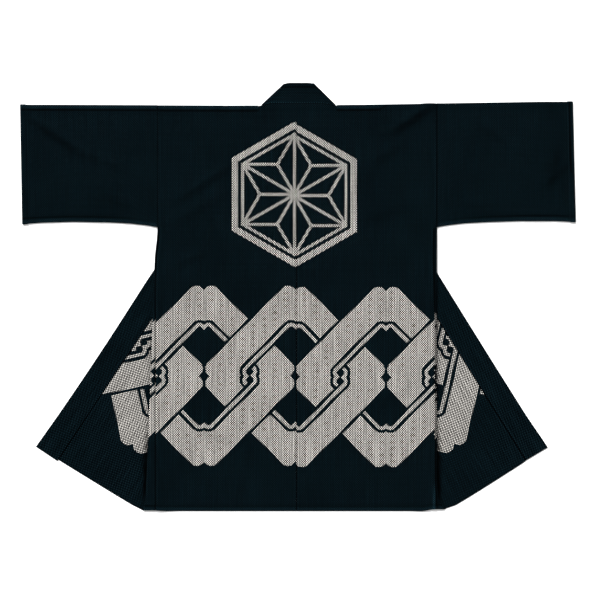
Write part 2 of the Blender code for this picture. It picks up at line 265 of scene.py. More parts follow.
@dataclass(frozen=True)
class Half:
    """One side of the coat and the lines that bound its pieces in plan."""

    name: str
    sign: float             # -1 on the wearer's left, which is at -X
    neck_x: float           # where the shoulder fold starts
    shoulder_start: float
    shoulder_slope: float
    arm_x: float            # armhole seam
    side_x: float           # side seam at the hem
    strip: float            # front cloth that shows past the side seam at the hem
    strip_even: float
    strip_power: float
    strip_least: float
    turn_x: float           # where the crease leaves the collar seam
    turn_y: float
    flare: float            # collar seam of the turned front, degrees from vertical
    hem_slope: float        # hem of the turned front, degrees from level
    band_width: float
    cuff_top: float
    cuff_bottom: float
    collar_top_x: float
    collar_side_x: float
    front_width: float      # front from side seam to collar seam
    shoulder_line: float    # where the pressed line below the shoulder has faded
    print_shift: Flat       # how far its print lies off the other half's
    print_spot: Flat        # a link's middle on the line of the turned front's print
    print_turn: float       # grain of the turned front, degrees from vertical
    print_size: float       # stretch of the turned front
    cuff_drop: float        # how far its cuff's lower corner hangs
    cuff_line: float        # how far down the line that its cuff's turn presses shows
    band_bow: float         # how far its collar end bows inward
    band_flick: float       # and spreads at its very end
    end_in: float           # collar end past the front's hem, at the seam
    end_out: float          # and at the free edge
    hem_lift: float         # how far the hem rises at its corner
    hem_sag: float          # sag of the turned front's hem
    collar_crown: float     # rise of the collar's top corner
    strip_print: float      # shift of the print on the strip past the side seam
    strip_shade: float      # how dark the strip lies beside its seam

    def line_distance(self, x: float, y: float, degrees: float) -> float:
        """Distance outward from the line through the turning point that leans by degrees."""
        turn = math.radians(degrees)
        return (x - self.turn_x) * math.cos(turn) + (y - self.turn_y) * math.sin(turn)

    def shoulder_y(self, x: float) -> float:
        """Height of the shoulder fold."""
        run = min(x, PLAN.shoulder_level) - self.neck_x
        return self.shoulder_start + self.shoulder_slope * max(run, 0.0)

    def neck_y(self, x: float) -> float:
        """Back neck edge: level in the middle, then down to the shoulder fold."""
        if x <= PLAN.neck_flat:
            return PLAN.neck_rise
        share = min((x - PLAN.neck_flat) / (self.neck_x - PLAN.neck_flat), 1.0)
        return lerp(PLAN.neck_rise, self.shoulder_start, share)

    def strip_width(self, depth: float) -> float:
        """Width of the front cloth that shows past the side seam."""
        share = max((depth - PLAN.strip_start) / (PLAN.back_length - PLAN.strip_start), 0.0)
        late = share ** self.strip_power
        return self.strip * (self.strip_even * share + (1.0 - self.strip_even) * late)

    def fold_edge_x(self, depth: float) -> float:
        """Outer fold of the body below the armhole."""
        side = lerp(self.arm_x, self.side_x, smooth(PLAN.armhole, 340.0, depth))
        return side + self.strip_width(depth)

    def side_seam_x(self, depth: float) -> float:
        """Side seam on the upper layer, just inside the fold where no strip shows."""
        least = self.strip_least * (1.8 - 0.8 * smooth(PLAN.armhole, 520.0, depth))
        return self.fold_edge_x(depth) - max(self.strip_width(depth), least)

    @property
    def hem_corner_x(self) -> float:
        """Where the hem of the back meets that of the turned front."""
        return self.side_x + self.strip

    @property
    def crease_lean(self) -> float:
        """Degrees from vertical of the crease along which the front is turned."""
        run = self.hem_corner_x - PLAN.crease_inset - self.turn_x
        return math.degrees(math.atan2(run, PLAN.back_length + self.turn_y))

    def crease_x(self, y: float) -> float:
        """Crease at a level."""
        return self.turn_x + (self.turn_y - y) * math.tan(math.radians(self.crease_lean))

    def collar_seam_x(self, y: float) -> float:
        """Collar seam of the turned front at a level."""
        return self.turn_x + (self.turn_y - y) * math.tan(math.radians(self.flare))

    def flap_hem_x(self, y: float) -> float:
        """Hem of the turned front at a level."""
        rise = y + PLAN.back_length
        sag = self.hem_sag * math.sin(math.pi * min(max(rise / 132.0, 0.0), 1.0) ** 0.6)
        return self.hem_corner_x + rise / math.tan(math.radians(self.hem_slope)) + sag

    def corner_lift(self, x: float, y: float) -> float:
        """How far the cloth curves up towards the hem's corner."""
        above = 1.0 - smooth(0.0, CORNER_HEIGHT, y + PLAN.back_length)
        past = x - self.hem_corner_x
        return self.hem_lift * above * smooth(*CORNER_START, past) * (1.0 - smooth(*CORNER_END, past))

    @property
    def flap_corner(self) -> Flat:
        """Where the turned front's hem meets its collar seam."""
        flare = math.tan(math.radians(self.flare))
        hem = 1.0 / math.tan(math.radians(self.hem_slope))
        run = self.turn_x + self.turn_y * flare - self.hem_corner_x - PLAN.back_length * hem
        y = run / (hem + flare)
        return self.collar_seam_x(y), y

    def line_fade(self, x: float) -> float:
        """Distance to add to the pressed line below the shoulder, so that it fades out."""
        return smooth(self.shoulder_line - 50.0, self.shoulder_line, x) * FAR

    def crevice(self, depth: float) -> float:
        """How far the side fold stands off the turned front, most above the hem."""
        return smooth(*CREVICE_START, depth) * (1.0 - smooth(*CREVICE_END, depth))

    def crevice_light(self, x: float, depth: float) -> float:
        """Light that reaches the turned front beside the side fold."""
        beside = x - self.fold_edge_x(depth)
        strength = lerp(*FOLD_SHADE, self.crevice(depth))
        reach = lerp(*FOLD_REACH, self.crevice(depth))
        return 1.0 - strength * (1.0 - smooth(reach * 0.55, reach, beside))

    def low(self, x: float, y: float) -> float:
        """Underside of the lower layer, over the turned band and front or on the surface."""
        aside = self.line_distance(x, y, self.flare)
        if aside < 0.0:
            rise = smooth(-PLAN.drape_margin - PLAN.drape_run, -PLAN.drape_margin, aside)
            base = lerp(PLAN.room, PLAN.band_room, rise)
        else:
            past = self.band_width + PLAN.drape_margin
            base = PLAN.band_room * (1.0 - smooth(past, past + PLAN.drape_run, aside))
        base += CREVICE_RISE * self.crevice(-y) * smooth(34.0, 8.0, self.fold_edge_x(-y) - x)
        return base + sum(crease.height_at(self.sign * x, y) for crease in UNDER_CREASES)

    def high(self, x: float, y: float) -> float:
        """Underside of the upper layer, over the lower one or down on the surface."""
        inside = self.line_distance(x, y, self.crease_lean)
        margin = lerp(PLAN.drape_margin, PLAN.neck_margin, smooth(-170.0, -30.0, y))
        lift = smooth(-margin - PLAN.drape_run, -margin, inside)
        soft = swell(self.sign * x, y) * smooth(0.0, 60.0, min(-y, PLAN.back_length + y))
        soft += sum(crease.height_at(self.sign * x, y) for crease in UPPER_CREASES)
        return lift * (self.low(x, y) + PLAN.room) + max(soft, 0.0)


HALVES = (
    Half(name="left", sign=-1.0, neck_x=84.0, shoulder_start=-1.2, shoulder_slope=0.004,
         arm_x=305.5, side_x=309.8, strip=28.3, strip_even=0.76, strip_power=24.0,
         strip_least=2.4, turn_x=75.5, turn_y=-104.5, flare=33.66, hem_slope=31.3,
         band_width=56.0, cuff_top=607.4, cuff_bottom=602.8, collar_top_x=28.3,
         collar_side_x=81.6, front_width=245.7, shoulder_line=680.0, print_shift=(0.0, 0.0),
         print_spot=(255.0, -583.3), print_turn=33.16, print_size=1.018, cuff_drop=2.4, cuff_line=-1.0,
         band_bow=2.7, band_flick=0.8, end_in=3.4, end_out=3.4, hem_lift=1.8, hem_sag=1.2,
         collar_crown=1.2, strip_print=-27.0, strip_shade=0.2),
    Half(name="right", sign=1.0, neck_x=89.0, shoulder_start=0.0, shoulder_slope=0.016,
         arm_x=309.0, side_x=308.0, strip=18.2, strip_even=0.05, strip_power=30.0,
         strip_least=4.2, turn_x=78.8, turn_y=-99.1, flare=32.04, hem_slope=31.8,
         band_width=53.5, cuff_top=607.6, cuff_bottom=613.6, collar_top_x=39.1,
         collar_side_x=91.0, front_width=233.0, shoulder_line=230.0, print_shift=(1.7, 2.6),
         print_spot=(247.3, -581.6), print_turn=31.64, print_size=1.008, cuff_drop=-2.6, cuff_line=180.0,
         band_bow=0.6, band_flick=2.6, end_in=-0.5, end_out=0.8, hem_lift=4.4, hem_sag=4.0,
         collar_crown=2.0, strip_print=0.0, strip_shade=0.7),
)

# Lower edge of a sleeve: (share of its length from the armhole, depth below the shoulder)
SLEEVE_EDGE = (
    (0.00, 266.8),
    (0.08, 262.6),
    (0.20, 258.4),
    (0.36, 255.9),
    (0.62, 254.3),
    (0.85, 255.1),
    (1.00, 257.7),
)


def place(x: float, y: float, z: float) -> Point:
    """Turn a plan point in millimetres into the part's frame, in metres."""
    left, right = HALVES
    reach_left = max(left.cuff_top, left.cuff_bottom)
    reach_right = max(right.cuff_top, right.cuff_bottom)
    middle_x = (reach_right - reach_left) / 2.0
    middle_y = (PLAN.collar_rise - PLAN.back_length) / 2.0
    return ((x - middle_x) * MM, (y - middle_y) * MM, z * MM)


def edge_wall(distance: float, full: float) -> float:
    """Wall near a cloth edge, thinned so that the edge is round.

    Args:
        distance: Distance from the edge.
        full: Wall away from the edge.

    Returns:
        The wall there.
    """
    return full * table_value(EDGE_WALLS, distance) if distance < EDGE_WALLS[-1][0] else full


def hem_wall(distance: float) -> float:
    """Wall near a turned hem: doubled over the turn, round at the edge."""
    turned = 1.0 - smooth(PLAN.hem_turn - 0.8, PLAN.hem_turn + 0.8, distance)
    return edge_wall(distance, lerp(PLAN.cloth, PLAN.doubled, turned))


def allowance_rise(near: float, fold: float) -> float:
    """Rise over a seam allowance, from the distances to the nearest seam and to a fold."""
    return PLAN.allowance * (1.0 - smooth(*ALLOWANCE_END, near)) * smooth(0.0, 3.0, fold)


def half_wall(wall: float) -> float:
    """Height of a wall's middle over its underside, a turned hem's cloth counted half."""
    return PLAN.cloth / 2.0 + max(wall - PLAN.cloth, 0.0) / 2.0


@dataclass
class Knot:
    """One point of a cloth's middle surface.

    spot is its place in plan and cut its place in the flat cut, with next_cut where the
    cut beyond a seam differs. wall is the cloth's thickness there, pressed the distance to
    the nearest turned edge, crisp how plain its pressed line is, seam the distance to the
    nearest seam, lit how far light reaches in and tone how light its undyed cotton is.
    """

    spot: Point
    cut: Flat
    wall: float = PLAN.cloth
    pressed: float = FAR
    crisp: float = 1.0
    seam: float = FAR
    lit: float = 1.0
    tone: float = 1.0
    next_cut: Optional[Flat] = None


Row = list[Optional[int]]


@dataclass
class ClothSheet:
    """A middle surface built row by row, which becomes one wall with its own cut map."""

    name: str
    knots: list[Knot] = field(default_factory=list)
    faces: list[tuple[int, ...]] = field(default_factory=list)
    corner_cuts: list[Flat] = field(default_factory=list)

    def add_row(self, row: Iterable[Optional[Knot]]) -> Row:
        """Add a row of knots and return their numbers; a gap stays None."""
        numbers: Row = []
        for knot in row:
            numbers.append(None if knot is None else len(self.knots))
            if knot is not None:
                self.knots.append(knot)
        return numbers

    def join(self, row: Row, next_row: Row) -> None:
        """Fill the faces between two rows wherever all four corners exist."""
        for i in range(len(row) - 1):
            corners = (row[i], row[i + 1], next_row[i + 1], next_row[i])
            if None in corners:
                continue
            self.faces.append(corners)
            for spot, corner in enumerate(corners):
                knot = self.knots[corner]
                leaves = spot in (0, 3) and knot.next_cut is not None
                self.corner_cuts.append(knot.next_cut if leaves else knot.cut)

    def make(self, sign: float, material: bpy.types.Material) -> bpy.types.Object:
        """Make the object: wall, cut map and the attributes that its material reads.

        Args:
            sign: -1 to lay the plan out on the left, 1 on the right.
            material: Its finish.

        Returns:
            The finished object, at the origin.
        """
        mesh = bpy.data.meshes.new(self.name)
        spots = [place(knot.spot[0] * sign, knot.spot[1], knot.spot[2]) for knot in self.knots]
        mesh.from_pydata(spots, [], self.faces)
        cut_map = mesh.uv_layers.new(name="Cut")
        cut_map.data.foreach_set("uv", [c * MM for cut in self.corner_cuts for c in cut])
        for name in ("pressed", "crisp", "seam", "lit", "tone"):
            values = mesh.attributes.new(name, "FLOAT", "POINT")
            values.data.foreach_set("value", [getattr(knot, name) for knot in self.knots])
        mesh.materials.append(material)
        obj = bpy.data.objects.new(self.name, mesh)
        bpy.context.scene.collection.objects.link(obj)
        thickest = max(knot.wall for knot in self.knots)
        walls = obj.vertex_groups.new(name="wall")
        for number, knot in enumerate(self.knots):
            walls.add([number], knot.wall / thickest, "REPLACE")
        solid = obj.modifiers.new("Wall", "SOLIDIFY")
        solid.thickness = thickest * MM
        solid.offset = 0.0
        solid.vertex_group = "wall"
        solid.thickness_vertex_group = 0.0
        finish_modifiers(obj)
        return obj


def finish_modifiers(obj: bpy.types.Object) -> None:
    """Apply an object's modifiers and smooth its faces, crisp edges apart."""
    bpy.ops.object.select_all(action="DESELECT")
    obj.select_set(True)
    bpy.context.view_layer.objects.active = obj
    for modifier in list(obj.modifiers):
        bpy.ops.object.modifier_apply(modifier=modifier.name)
    bpy.ops.object.shade_smooth_by_angle(angle=math.radians(62.0))
    obj.select_set(False)


def half_turn(start: Knot, end: Knot, out: Flat, cut_out: Flat,
              count: int = PLAN.fold_steps) -> list[Knot]:
    """Return the knots of a round fold between two stacked knots, which are left out.

    Args:
        start: First knot, above or below end.
        end: Last knot.
        out: Way in plan that the fold bulges.
        cut_out: The same way in the flat cut.
        count: Steps of the half turn.

    Returns:
        The knots between them.
    """
    radius = (start.spot[2] - end.spot[2]) / 2.0
    knots = []
    for i in range(1, count):
        share = i / count
        push = abs(radius) * math.sin(math.pi * share)
        spot = (lerp(start.spot[0], end.spot[0], share) + out[0] * push,
                lerp(start.spot[1], end.spot[1], share) + out[1] * push,
                (start.spot[2] + end.spot[2]) / 2.0 + radius * math.cos(math.pi * share))
        begin = start.next_cut or start.cut
        travel = abs(radius) * math.pi * share
        cut = (begin[0] + cut_out[0] * travel, begin[1] + cut_out[1] * travel)
        knots.append(Knot(spot, cut, lerp(start.wall, end.wall, share), start.pressed,
                          start.crisp, FAR, start.lit, start.tone))
    return knots


@dataclass
class Wire:
    """An output of a node tree, with arithmetic that adds the nodes for it."""

    tree: bpy.types.NodeTree
    socket: bpy.types.NodeSocket

    def math(self, operation: str, *others: "Wire | float") -> "Wire":
        """Add a Math node of an operation on this value and the others."""
        node = self.tree.nodes.new("ShaderNodeMath")
        node.operation = operation
        self.tree.links.new(self.socket, node.inputs[0])
        for number, other in enumerate(others, start=1):
            if isinstance(other, Wire):
                self.tree.links.new(other.socket, node.inputs[number])
            else:
                node.inputs[number].default_value = other
        return Wire(self.tree, node.outputs[0])

    def __add__(self, other: "Wire | float") -> "Wire":
        """Return the sum."""
        return self.math("ADD", other)

    def __sub__(self, other: "Wire | float") -> "Wire":
        """Return the difference."""
        return self.math("SUBTRACT", other)

    def __mul__(self, other: "Wire | float") -> "Wire":
        """Return the product."""
        return self.math("MULTIPLY", other)

    def inverse(self) -> "Wire":
        """Return one less this value."""
        return self.math("MULTIPLY_ADD", -1.0, 1.0)

    def larger(self, other: "Wire | float") -> "Wire":
        """Return the larger value."""
        return self.math("MAXIMUM", other)

    def smaller(self, other: "Wire | float") -> "Wire":
        """Return the smaller value."""
        return self.math("MINIMUM", other)

    def size(self) -> "Wire":
        """Return the value without its sign."""
        return self.math("ABSOLUTE")

    def wave(self, length: float) -> "Wire":
        """Return the cosine that repeats every length."""
        return self.math("MULTIPLY", math.tau / length).math("COSINE")

    def rise(self, start: float, end: float) -> "Wire":
        """Return a soft step from 0 at start to 1 at end."""
        node = self.tree.nodes.new("ShaderNodeMapRange")
        node.interpolation_type = "SMOOTHSTEP"
        node.inputs["From Min"].default_value = start
        node.inputs["From Max"].default_value = end
        self.tree.links.new(self.socket, node.inputs["Value"])
        return Wire(self.tree, node.outputs["Result"])

    def mix(self, other: "Wire | float", share: "Wire") -> "Wire":
        """Return this value where share is 0 and other where it is 1."""
        return share.math("MULTIPLY_ADD", self.math("MULTIPLY_ADD", -1.0, other), self)

    def into(self, socket: bpy.types.NodeSocket) -> None:
        """Link this output to an input."""
        self.tree.links.new(self.socket, socket)


@dataclass
class GroupMaker:
    """Starts a shader node group with named inputs and outputs."""

    name: str
    inputs: Sequence[tuple[str, str]]
    outputs: Sequence[tuple[str, str]]

    def start(self) -> tuple[bpy.types.NodeTree, bpy.types.Node, bpy.types.Node]:
        """Make the empty group and return it with its input and output nodes."""
        tree = bpy.data.node_groups.new(self.name, "ShaderNodeTree")
        for name, kind in self.inputs:
            tree.interface.new_socket(name=name, in_out="INPUT", socket_type=kind)
        for name, kind in self.outputs:
            tree.interface.new_socket(name=name, in_out="OUTPUT", socket_type=kind)
        return tree, tree.nodes.new("NodeGroupInput"), tree.nodes.new("NodeGroupOutput")


def millimetres(tree: bpy.types.NodeTree, vector: bpy.types.NodeSocket) -> tuple[Wire, Wire]:
    """Split a cut place into its two lengths in millimetres."""
    split = tree.nodes.new("ShaderNodeSeparateXYZ")
    tree.links.new(vector, split.inputs[0])
    across = Wire(tree, split.outputs["X"]) * (1.0 / MM)
    along = Wire(tree, split.outputs["Y"]) * (1.0 / MM)
    return across, along


def noise(tree: bpy.types.NodeTree, vector: bpy.types.NodeSocket, scale: float,
          detail: float = 2.0) -> Wire:
    """Add a noise texture on a place and return its value."""
    node = tree.nodes.new("ShaderNodeTexNoise")
    node.inputs["Scale"].default_value = scale
    node.inputs["Detail"].default_value = detail
    tree.links.new(vector, node.inputs["Vector"])
    return Wire(tree, node.outputs["Fac"])


def new_material(name: str) -> tuple[bpy.types.Material, bpy.types.NodeTree, bpy.types.Node]:
    """Make a material and return it with its tree and its shader."""
    material = bpy.data.materials.new(name)
    material.use_nodes = True
    return material, material.node_tree, material.node_tree.nodes["Principled BSDF"]


def blend(tree: bpy.types.NodeTree, low: Sequence[float], high: Sequence[float],
          share: Wire) -> bpy.types.NodeSocket:
    """Return the colour between two by a share."""
    node = tree.nodes.new("ShaderNodeMix")
    node.data_type = "RGBA"
    node.inputs["A"].default_value = (*low, 1.0)
    node.inputs["B"].default_value = (*high, 1.0)
    share.into(node.inputs["Factor"])
    return node.outputs["Result"]


@dataclass(frozen=True)
class QuiltedWeave:
    """Raised floats set like bricks, in ribs along the warp, a little out of true."""

    across: float = 4.84
    along: float = 5.2
    rib_pitch: float = 6.1
    rib: float = 0.12
    course_pitch: float = 7.8
    course: float = 0.012
    yarn: float = 0.62
    wander: float = 0.6             # how far the floats stray from their lattice
    slub_depth: float = 0.7         # how much a warp yarn's thickness widens its floats
    float_from: float = 0.22        # level at which a float begins, and that of its top
    float_to: float = 0.48

    def build(self) -> bpy.types.NodeTree:
        """Build the group: Float is 1 on a raised float and 0 between, Relief its height."""
        maker = GroupMaker("Quilted weave", [("Cut", "NodeSocketVector")],
                           [("Float", "NodeSocketFloat"), ("Relief", "NodeSocketFloat"),
                            ("Uneven", "NodeSocketFloat")])
        tree, start, end = maker.start()
        cut = start.outputs["Cut"]
        u, v = millimetres(tree, cut)
        fine = noise(tree, cut, 900.0, 1.0)
        stray_across = noise(tree, cut, 46.0, 1.0) - 0.5
        stray_along = noise(tree, cut, 71.0, 1.0) - 0.5
        slub = noise(tree, self.stretched(tree, u * 0.36, v * 0.012), 1.0, 2.0)
        ply = noise(tree, self.stretched(tree, u * 0.06, v * 0.36), 1.0, 2.0)
        uneven = slub * 0.6 + ply * 0.4
        set_u = u + stray_across * self.wander
        set_v = v + stray_along * self.wander
        bricks = set_u.wave(self.across) * set_v.wave(self.along)
        ribs = set_u.wave(self.rib_pitch) * self.rib + set_v.wave(self.course_pitch) * self.course
        shaped = bricks + ribs + (slub - 0.5) * self.slub_depth
        float_mask = shaped.rise(self.float_from, self.float_to)
        yarns = v.wave(self.yarn) * 0.035 + u.wave(self.yarn) * 0.035
        relief = float_mask + yarns + (fine - 0.5) * 0.18
        float_mask.into(end.inputs["Float"])
        relief.into(end.inputs["Relief"])
        uneven.into(end.inputs["Uneven"])
        return tree

    @staticmethod
    def stretched(tree: bpy.types.NodeTree, across: Wire, along: Wire) -> bpy.types.NodeSocket:
        """Make a place from two lengths, for yarn-long unevenness."""
        node = tree.nodes.new("ShaderNodeCombineXYZ")
        across.into(node.inputs["X"])
        along.into(node.inputs["Y"])
        return node.outputs[0]


@dataclass(frozen=True)
class LinkedChainPrint:
    """Row of square links on their corners, each through the next, left undyed.

    Sizes are sums of the two distances from a link's centre, except the lines across.
    """

    pitch: float = 200.8
    centre_across: float = -2.3
    centre_along: float = 297.6
    outer: float = 221.3
    outer_notch: float = 188.9
    outer_round: float = 17.0
    inner: float = 140.8
    inner_notch: float = 121.6
    inner_round: float = 19.9
    dark_line: float = 6.6
    light_line_end: float = 14.2
    outline: float = 6.2
    guard_start: float = 4.0
    guard_end: float = 8.8
    blur: float = 0.45

    def corner_distance(self, far: Wire, near: Wire, side: float, notch: float,
                        radius: float) -> Wire:
        """Distance outside a square on its corner whose corners are double and rounded.

        Args:
            far: Larger of the two distances from the centre.
            near: Smaller of them.
            side: Their sum on a straight side.
            notch: Their difference on a notch's flank.
            radius: Rounding of the two lobes.

        Returns:
            The distance, negative inside.
        """
        slant = math.sqrt(0.5)
        to_side = (far + near - side) * slant
        to_notch = (far - near - notch) * slant
        over_side = (to_side + radius).larger(0.0)
        over_notch = (to_notch + radius).larger(0.0)
        round_part = (over_side * over_side + over_notch * over_notch).math("SQRT")
        return to_side.larger(to_notch).smaller(-radius) + round_part

    def link(self, across: Wire, along: Wire, guard: Wire) -> tuple[Wire, Wire]:
        """Return where one link is undyed and where it hides the link under it."""
        far, near = across.larger(along), across.smaller(along)
        outside = self.corner_distance(far, near, self.outer, self.outer_notch, self.outer_round)
        hole = self.corner_distance(far, near, self.inner, self.inner_notch, self.inner_round)
        b = self.blur
        band = outside.rise(b, -b) * hole.rise(-b, b)
        inner_start, inner_end = -self.dark_line, -self.light_line_end
        line = hole.rise(inner_start + b, inner_start - b) * hole.rise(inner_end - b, inner_end + b)
        covers = outside.rise(self.outline + b, self.outline - b)
        reach = hole + guard * self.outline
        covers = covers * reach.rise(inner_end - b, inner_end + b)
        return band.larger(line), covers

    def build(self) -> bpy.types.NodeTree:
        """Build the group: Undyed is 1 where the cloth stays light."""
        maker = GroupMaker("Linked chain print", [("Cut", "NodeSocketVector")],
                           [("Undyed", "NodeSocketFloat")])
        tree, start, end = maker.start()
        u, v = millimetres(tree, start.outputs["Cut"])
        across = (u - self.centre_across).math("FLOORED_MODULO", self.pitch)
        height = v - self.centre_along
        along = height.size()
        upper = height.rise(-0.01, 0.01)
        beyond = across.math("MULTIPLY_ADD", -1.0, self.pitch)
        over_across = across.mix(beyond, upper)
        under_across = beyond.mix(across, upper)
        guard = along.rise(self.guard_start, self.guard_end)
        over, covers = self.link(over_across, along, guard)
        under, _ = self.link(under_across, along, guard)
        (over.larger(under * covers.inverse())).into(end.inputs["Undyed"])
        return tree


CHAIN = LinkedChainPrint()
FRONT_LINKS = 6                     # whole links by which the fronts lie off the back in the cut map


@dataclass(frozen=True)
class HempLeafCrest:
    """Hemp-leaf star in a six-sided frame, left undyed in the middle of the back."""

    centre_across: float = -4.0
    centre_along: float = 696.5
    reach: float = 132.0
    line: float = 6.4
    frame_gap: float = 17.0
    frame_line: float = 13.5
    blur: float = 0.45

    def build(self) -> bpy.types.NodeTree:
        """Build the group: Undyed is 1 where the cloth stays light."""
        maker = GroupMaker("Hemp leaf crest", [("Cut", "NodeSocketVector")],
                           [("Undyed", "NodeSocketFloat")])
        tree, start, end = maker.start()
        u, v = millimetres(tree, start.outputs["Cut"])
        x, y = u - self.centre_across, v - self.centre_along
        radius = (x * x + y * y).math("SQRT")
        sixth = math.pi / 3.0
        turned = x.math("ARCTAN2", y).math("FLOORED_MODULO", sixth)
        angle = (turned - sixth / 2.0).size()
        middle = radius * angle.math("COSINE")
        aside = radius * angle.math("SINE")
        side = self.reach * math.cos(sixth / 2.0)
        heart = self.reach / math.sqrt(3.0)
        spoke = (middle * math.sin(sixth / 2.0) - aside * math.cos(sixth / 2.0)).size()
        leaf = ((middle - heart) * math.sin(sixth) - aside * math.cos(sixth)).size()
        vein = aside.larger(middle - heart)
        rim = (middle - side).size()
        nearest = spoke.smaller(leaf).smaller(vein).smaller(rim)
        half_line, b = self.line / 2.0, self.blur
        star = nearest.rise(half_line + b, half_line - b) * middle.rise(side + half_line + b,
                                                                      side + half_line - b)
        frame_line = (middle - (side + self.frame_gap)).size()
        half_frame = self.frame_line / 2.0
        star.larger(frame_line.rise(half_frame + b, half_frame - b)).into(end.inputs["Undyed"])
        return tree


@dataclass(frozen=True)
class PressedLine:
    """Line that the turned cloth below presses into a hem or fold."""

    at: float = 10.4
    width: float = 3.0
    seam_width: float = 2.1
    highlight_at: float = 2.9            # painted highlight on the ridge beside a seam
    highlight_width: float = 1.3

    def build(self) -> bpy.types.NodeTree:
        """Build the group: Line is 1 on the line, Turned over the turn, Sewn in a seam.

        The last output is 1 on the ridge beside a seam, where a highlight is painted.
        """
        maker = GroupMaker("Pressed line", [("Distance", "NodeSocketFloat"),
                                            ("Seam", "NodeSocketFloat")],
                           [("Line", "NodeSocketFloat"), ("Turned", "NodeSocketFloat"),
                            ("Sewn", "NodeSocketFloat"), ("Ridge highlight", "NodeSocketFloat")])
        tree, start, end = maker.start()
        distance = Wire(tree, start.outputs["Distance"])
        line = (distance - self.at).size().rise(self.width, 0.6)
        line.into(end.inputs["Line"])
        distance.rise(self.at - 2.0, self.at - 8.0).into(end.inputs["Turned"])
        seam = Wire(tree, start.outputs["Seam"])
        seam.rise(self.seam_width, 0.5).into(end.inputs["Sewn"])
        # painted highlight: a lit line at a set distance from each seam
        ridge_highlight = (seam - self.highlight_at).size().rise(self.highlight_width, 0.3)
        ridge_highlight.into(end.inputs["Ridge highlight"])
        return tree


@dataclass
class CottonGroups:
    """The node groups that the coat's materials share, each built once."""

    weave: bpy.types.NodeTree = field(default_factory=lambda: QuiltedWeave().build())
    chain: bpy.types.NodeTree = field(default_factory=CHAIN.build)
    crest: bpy.types.NodeTree = field(default_factory=lambda: HempLeafCrest().build())
    pressed: bpy.types.NodeTree = field(default_factory=lambda: PressedLine().build())


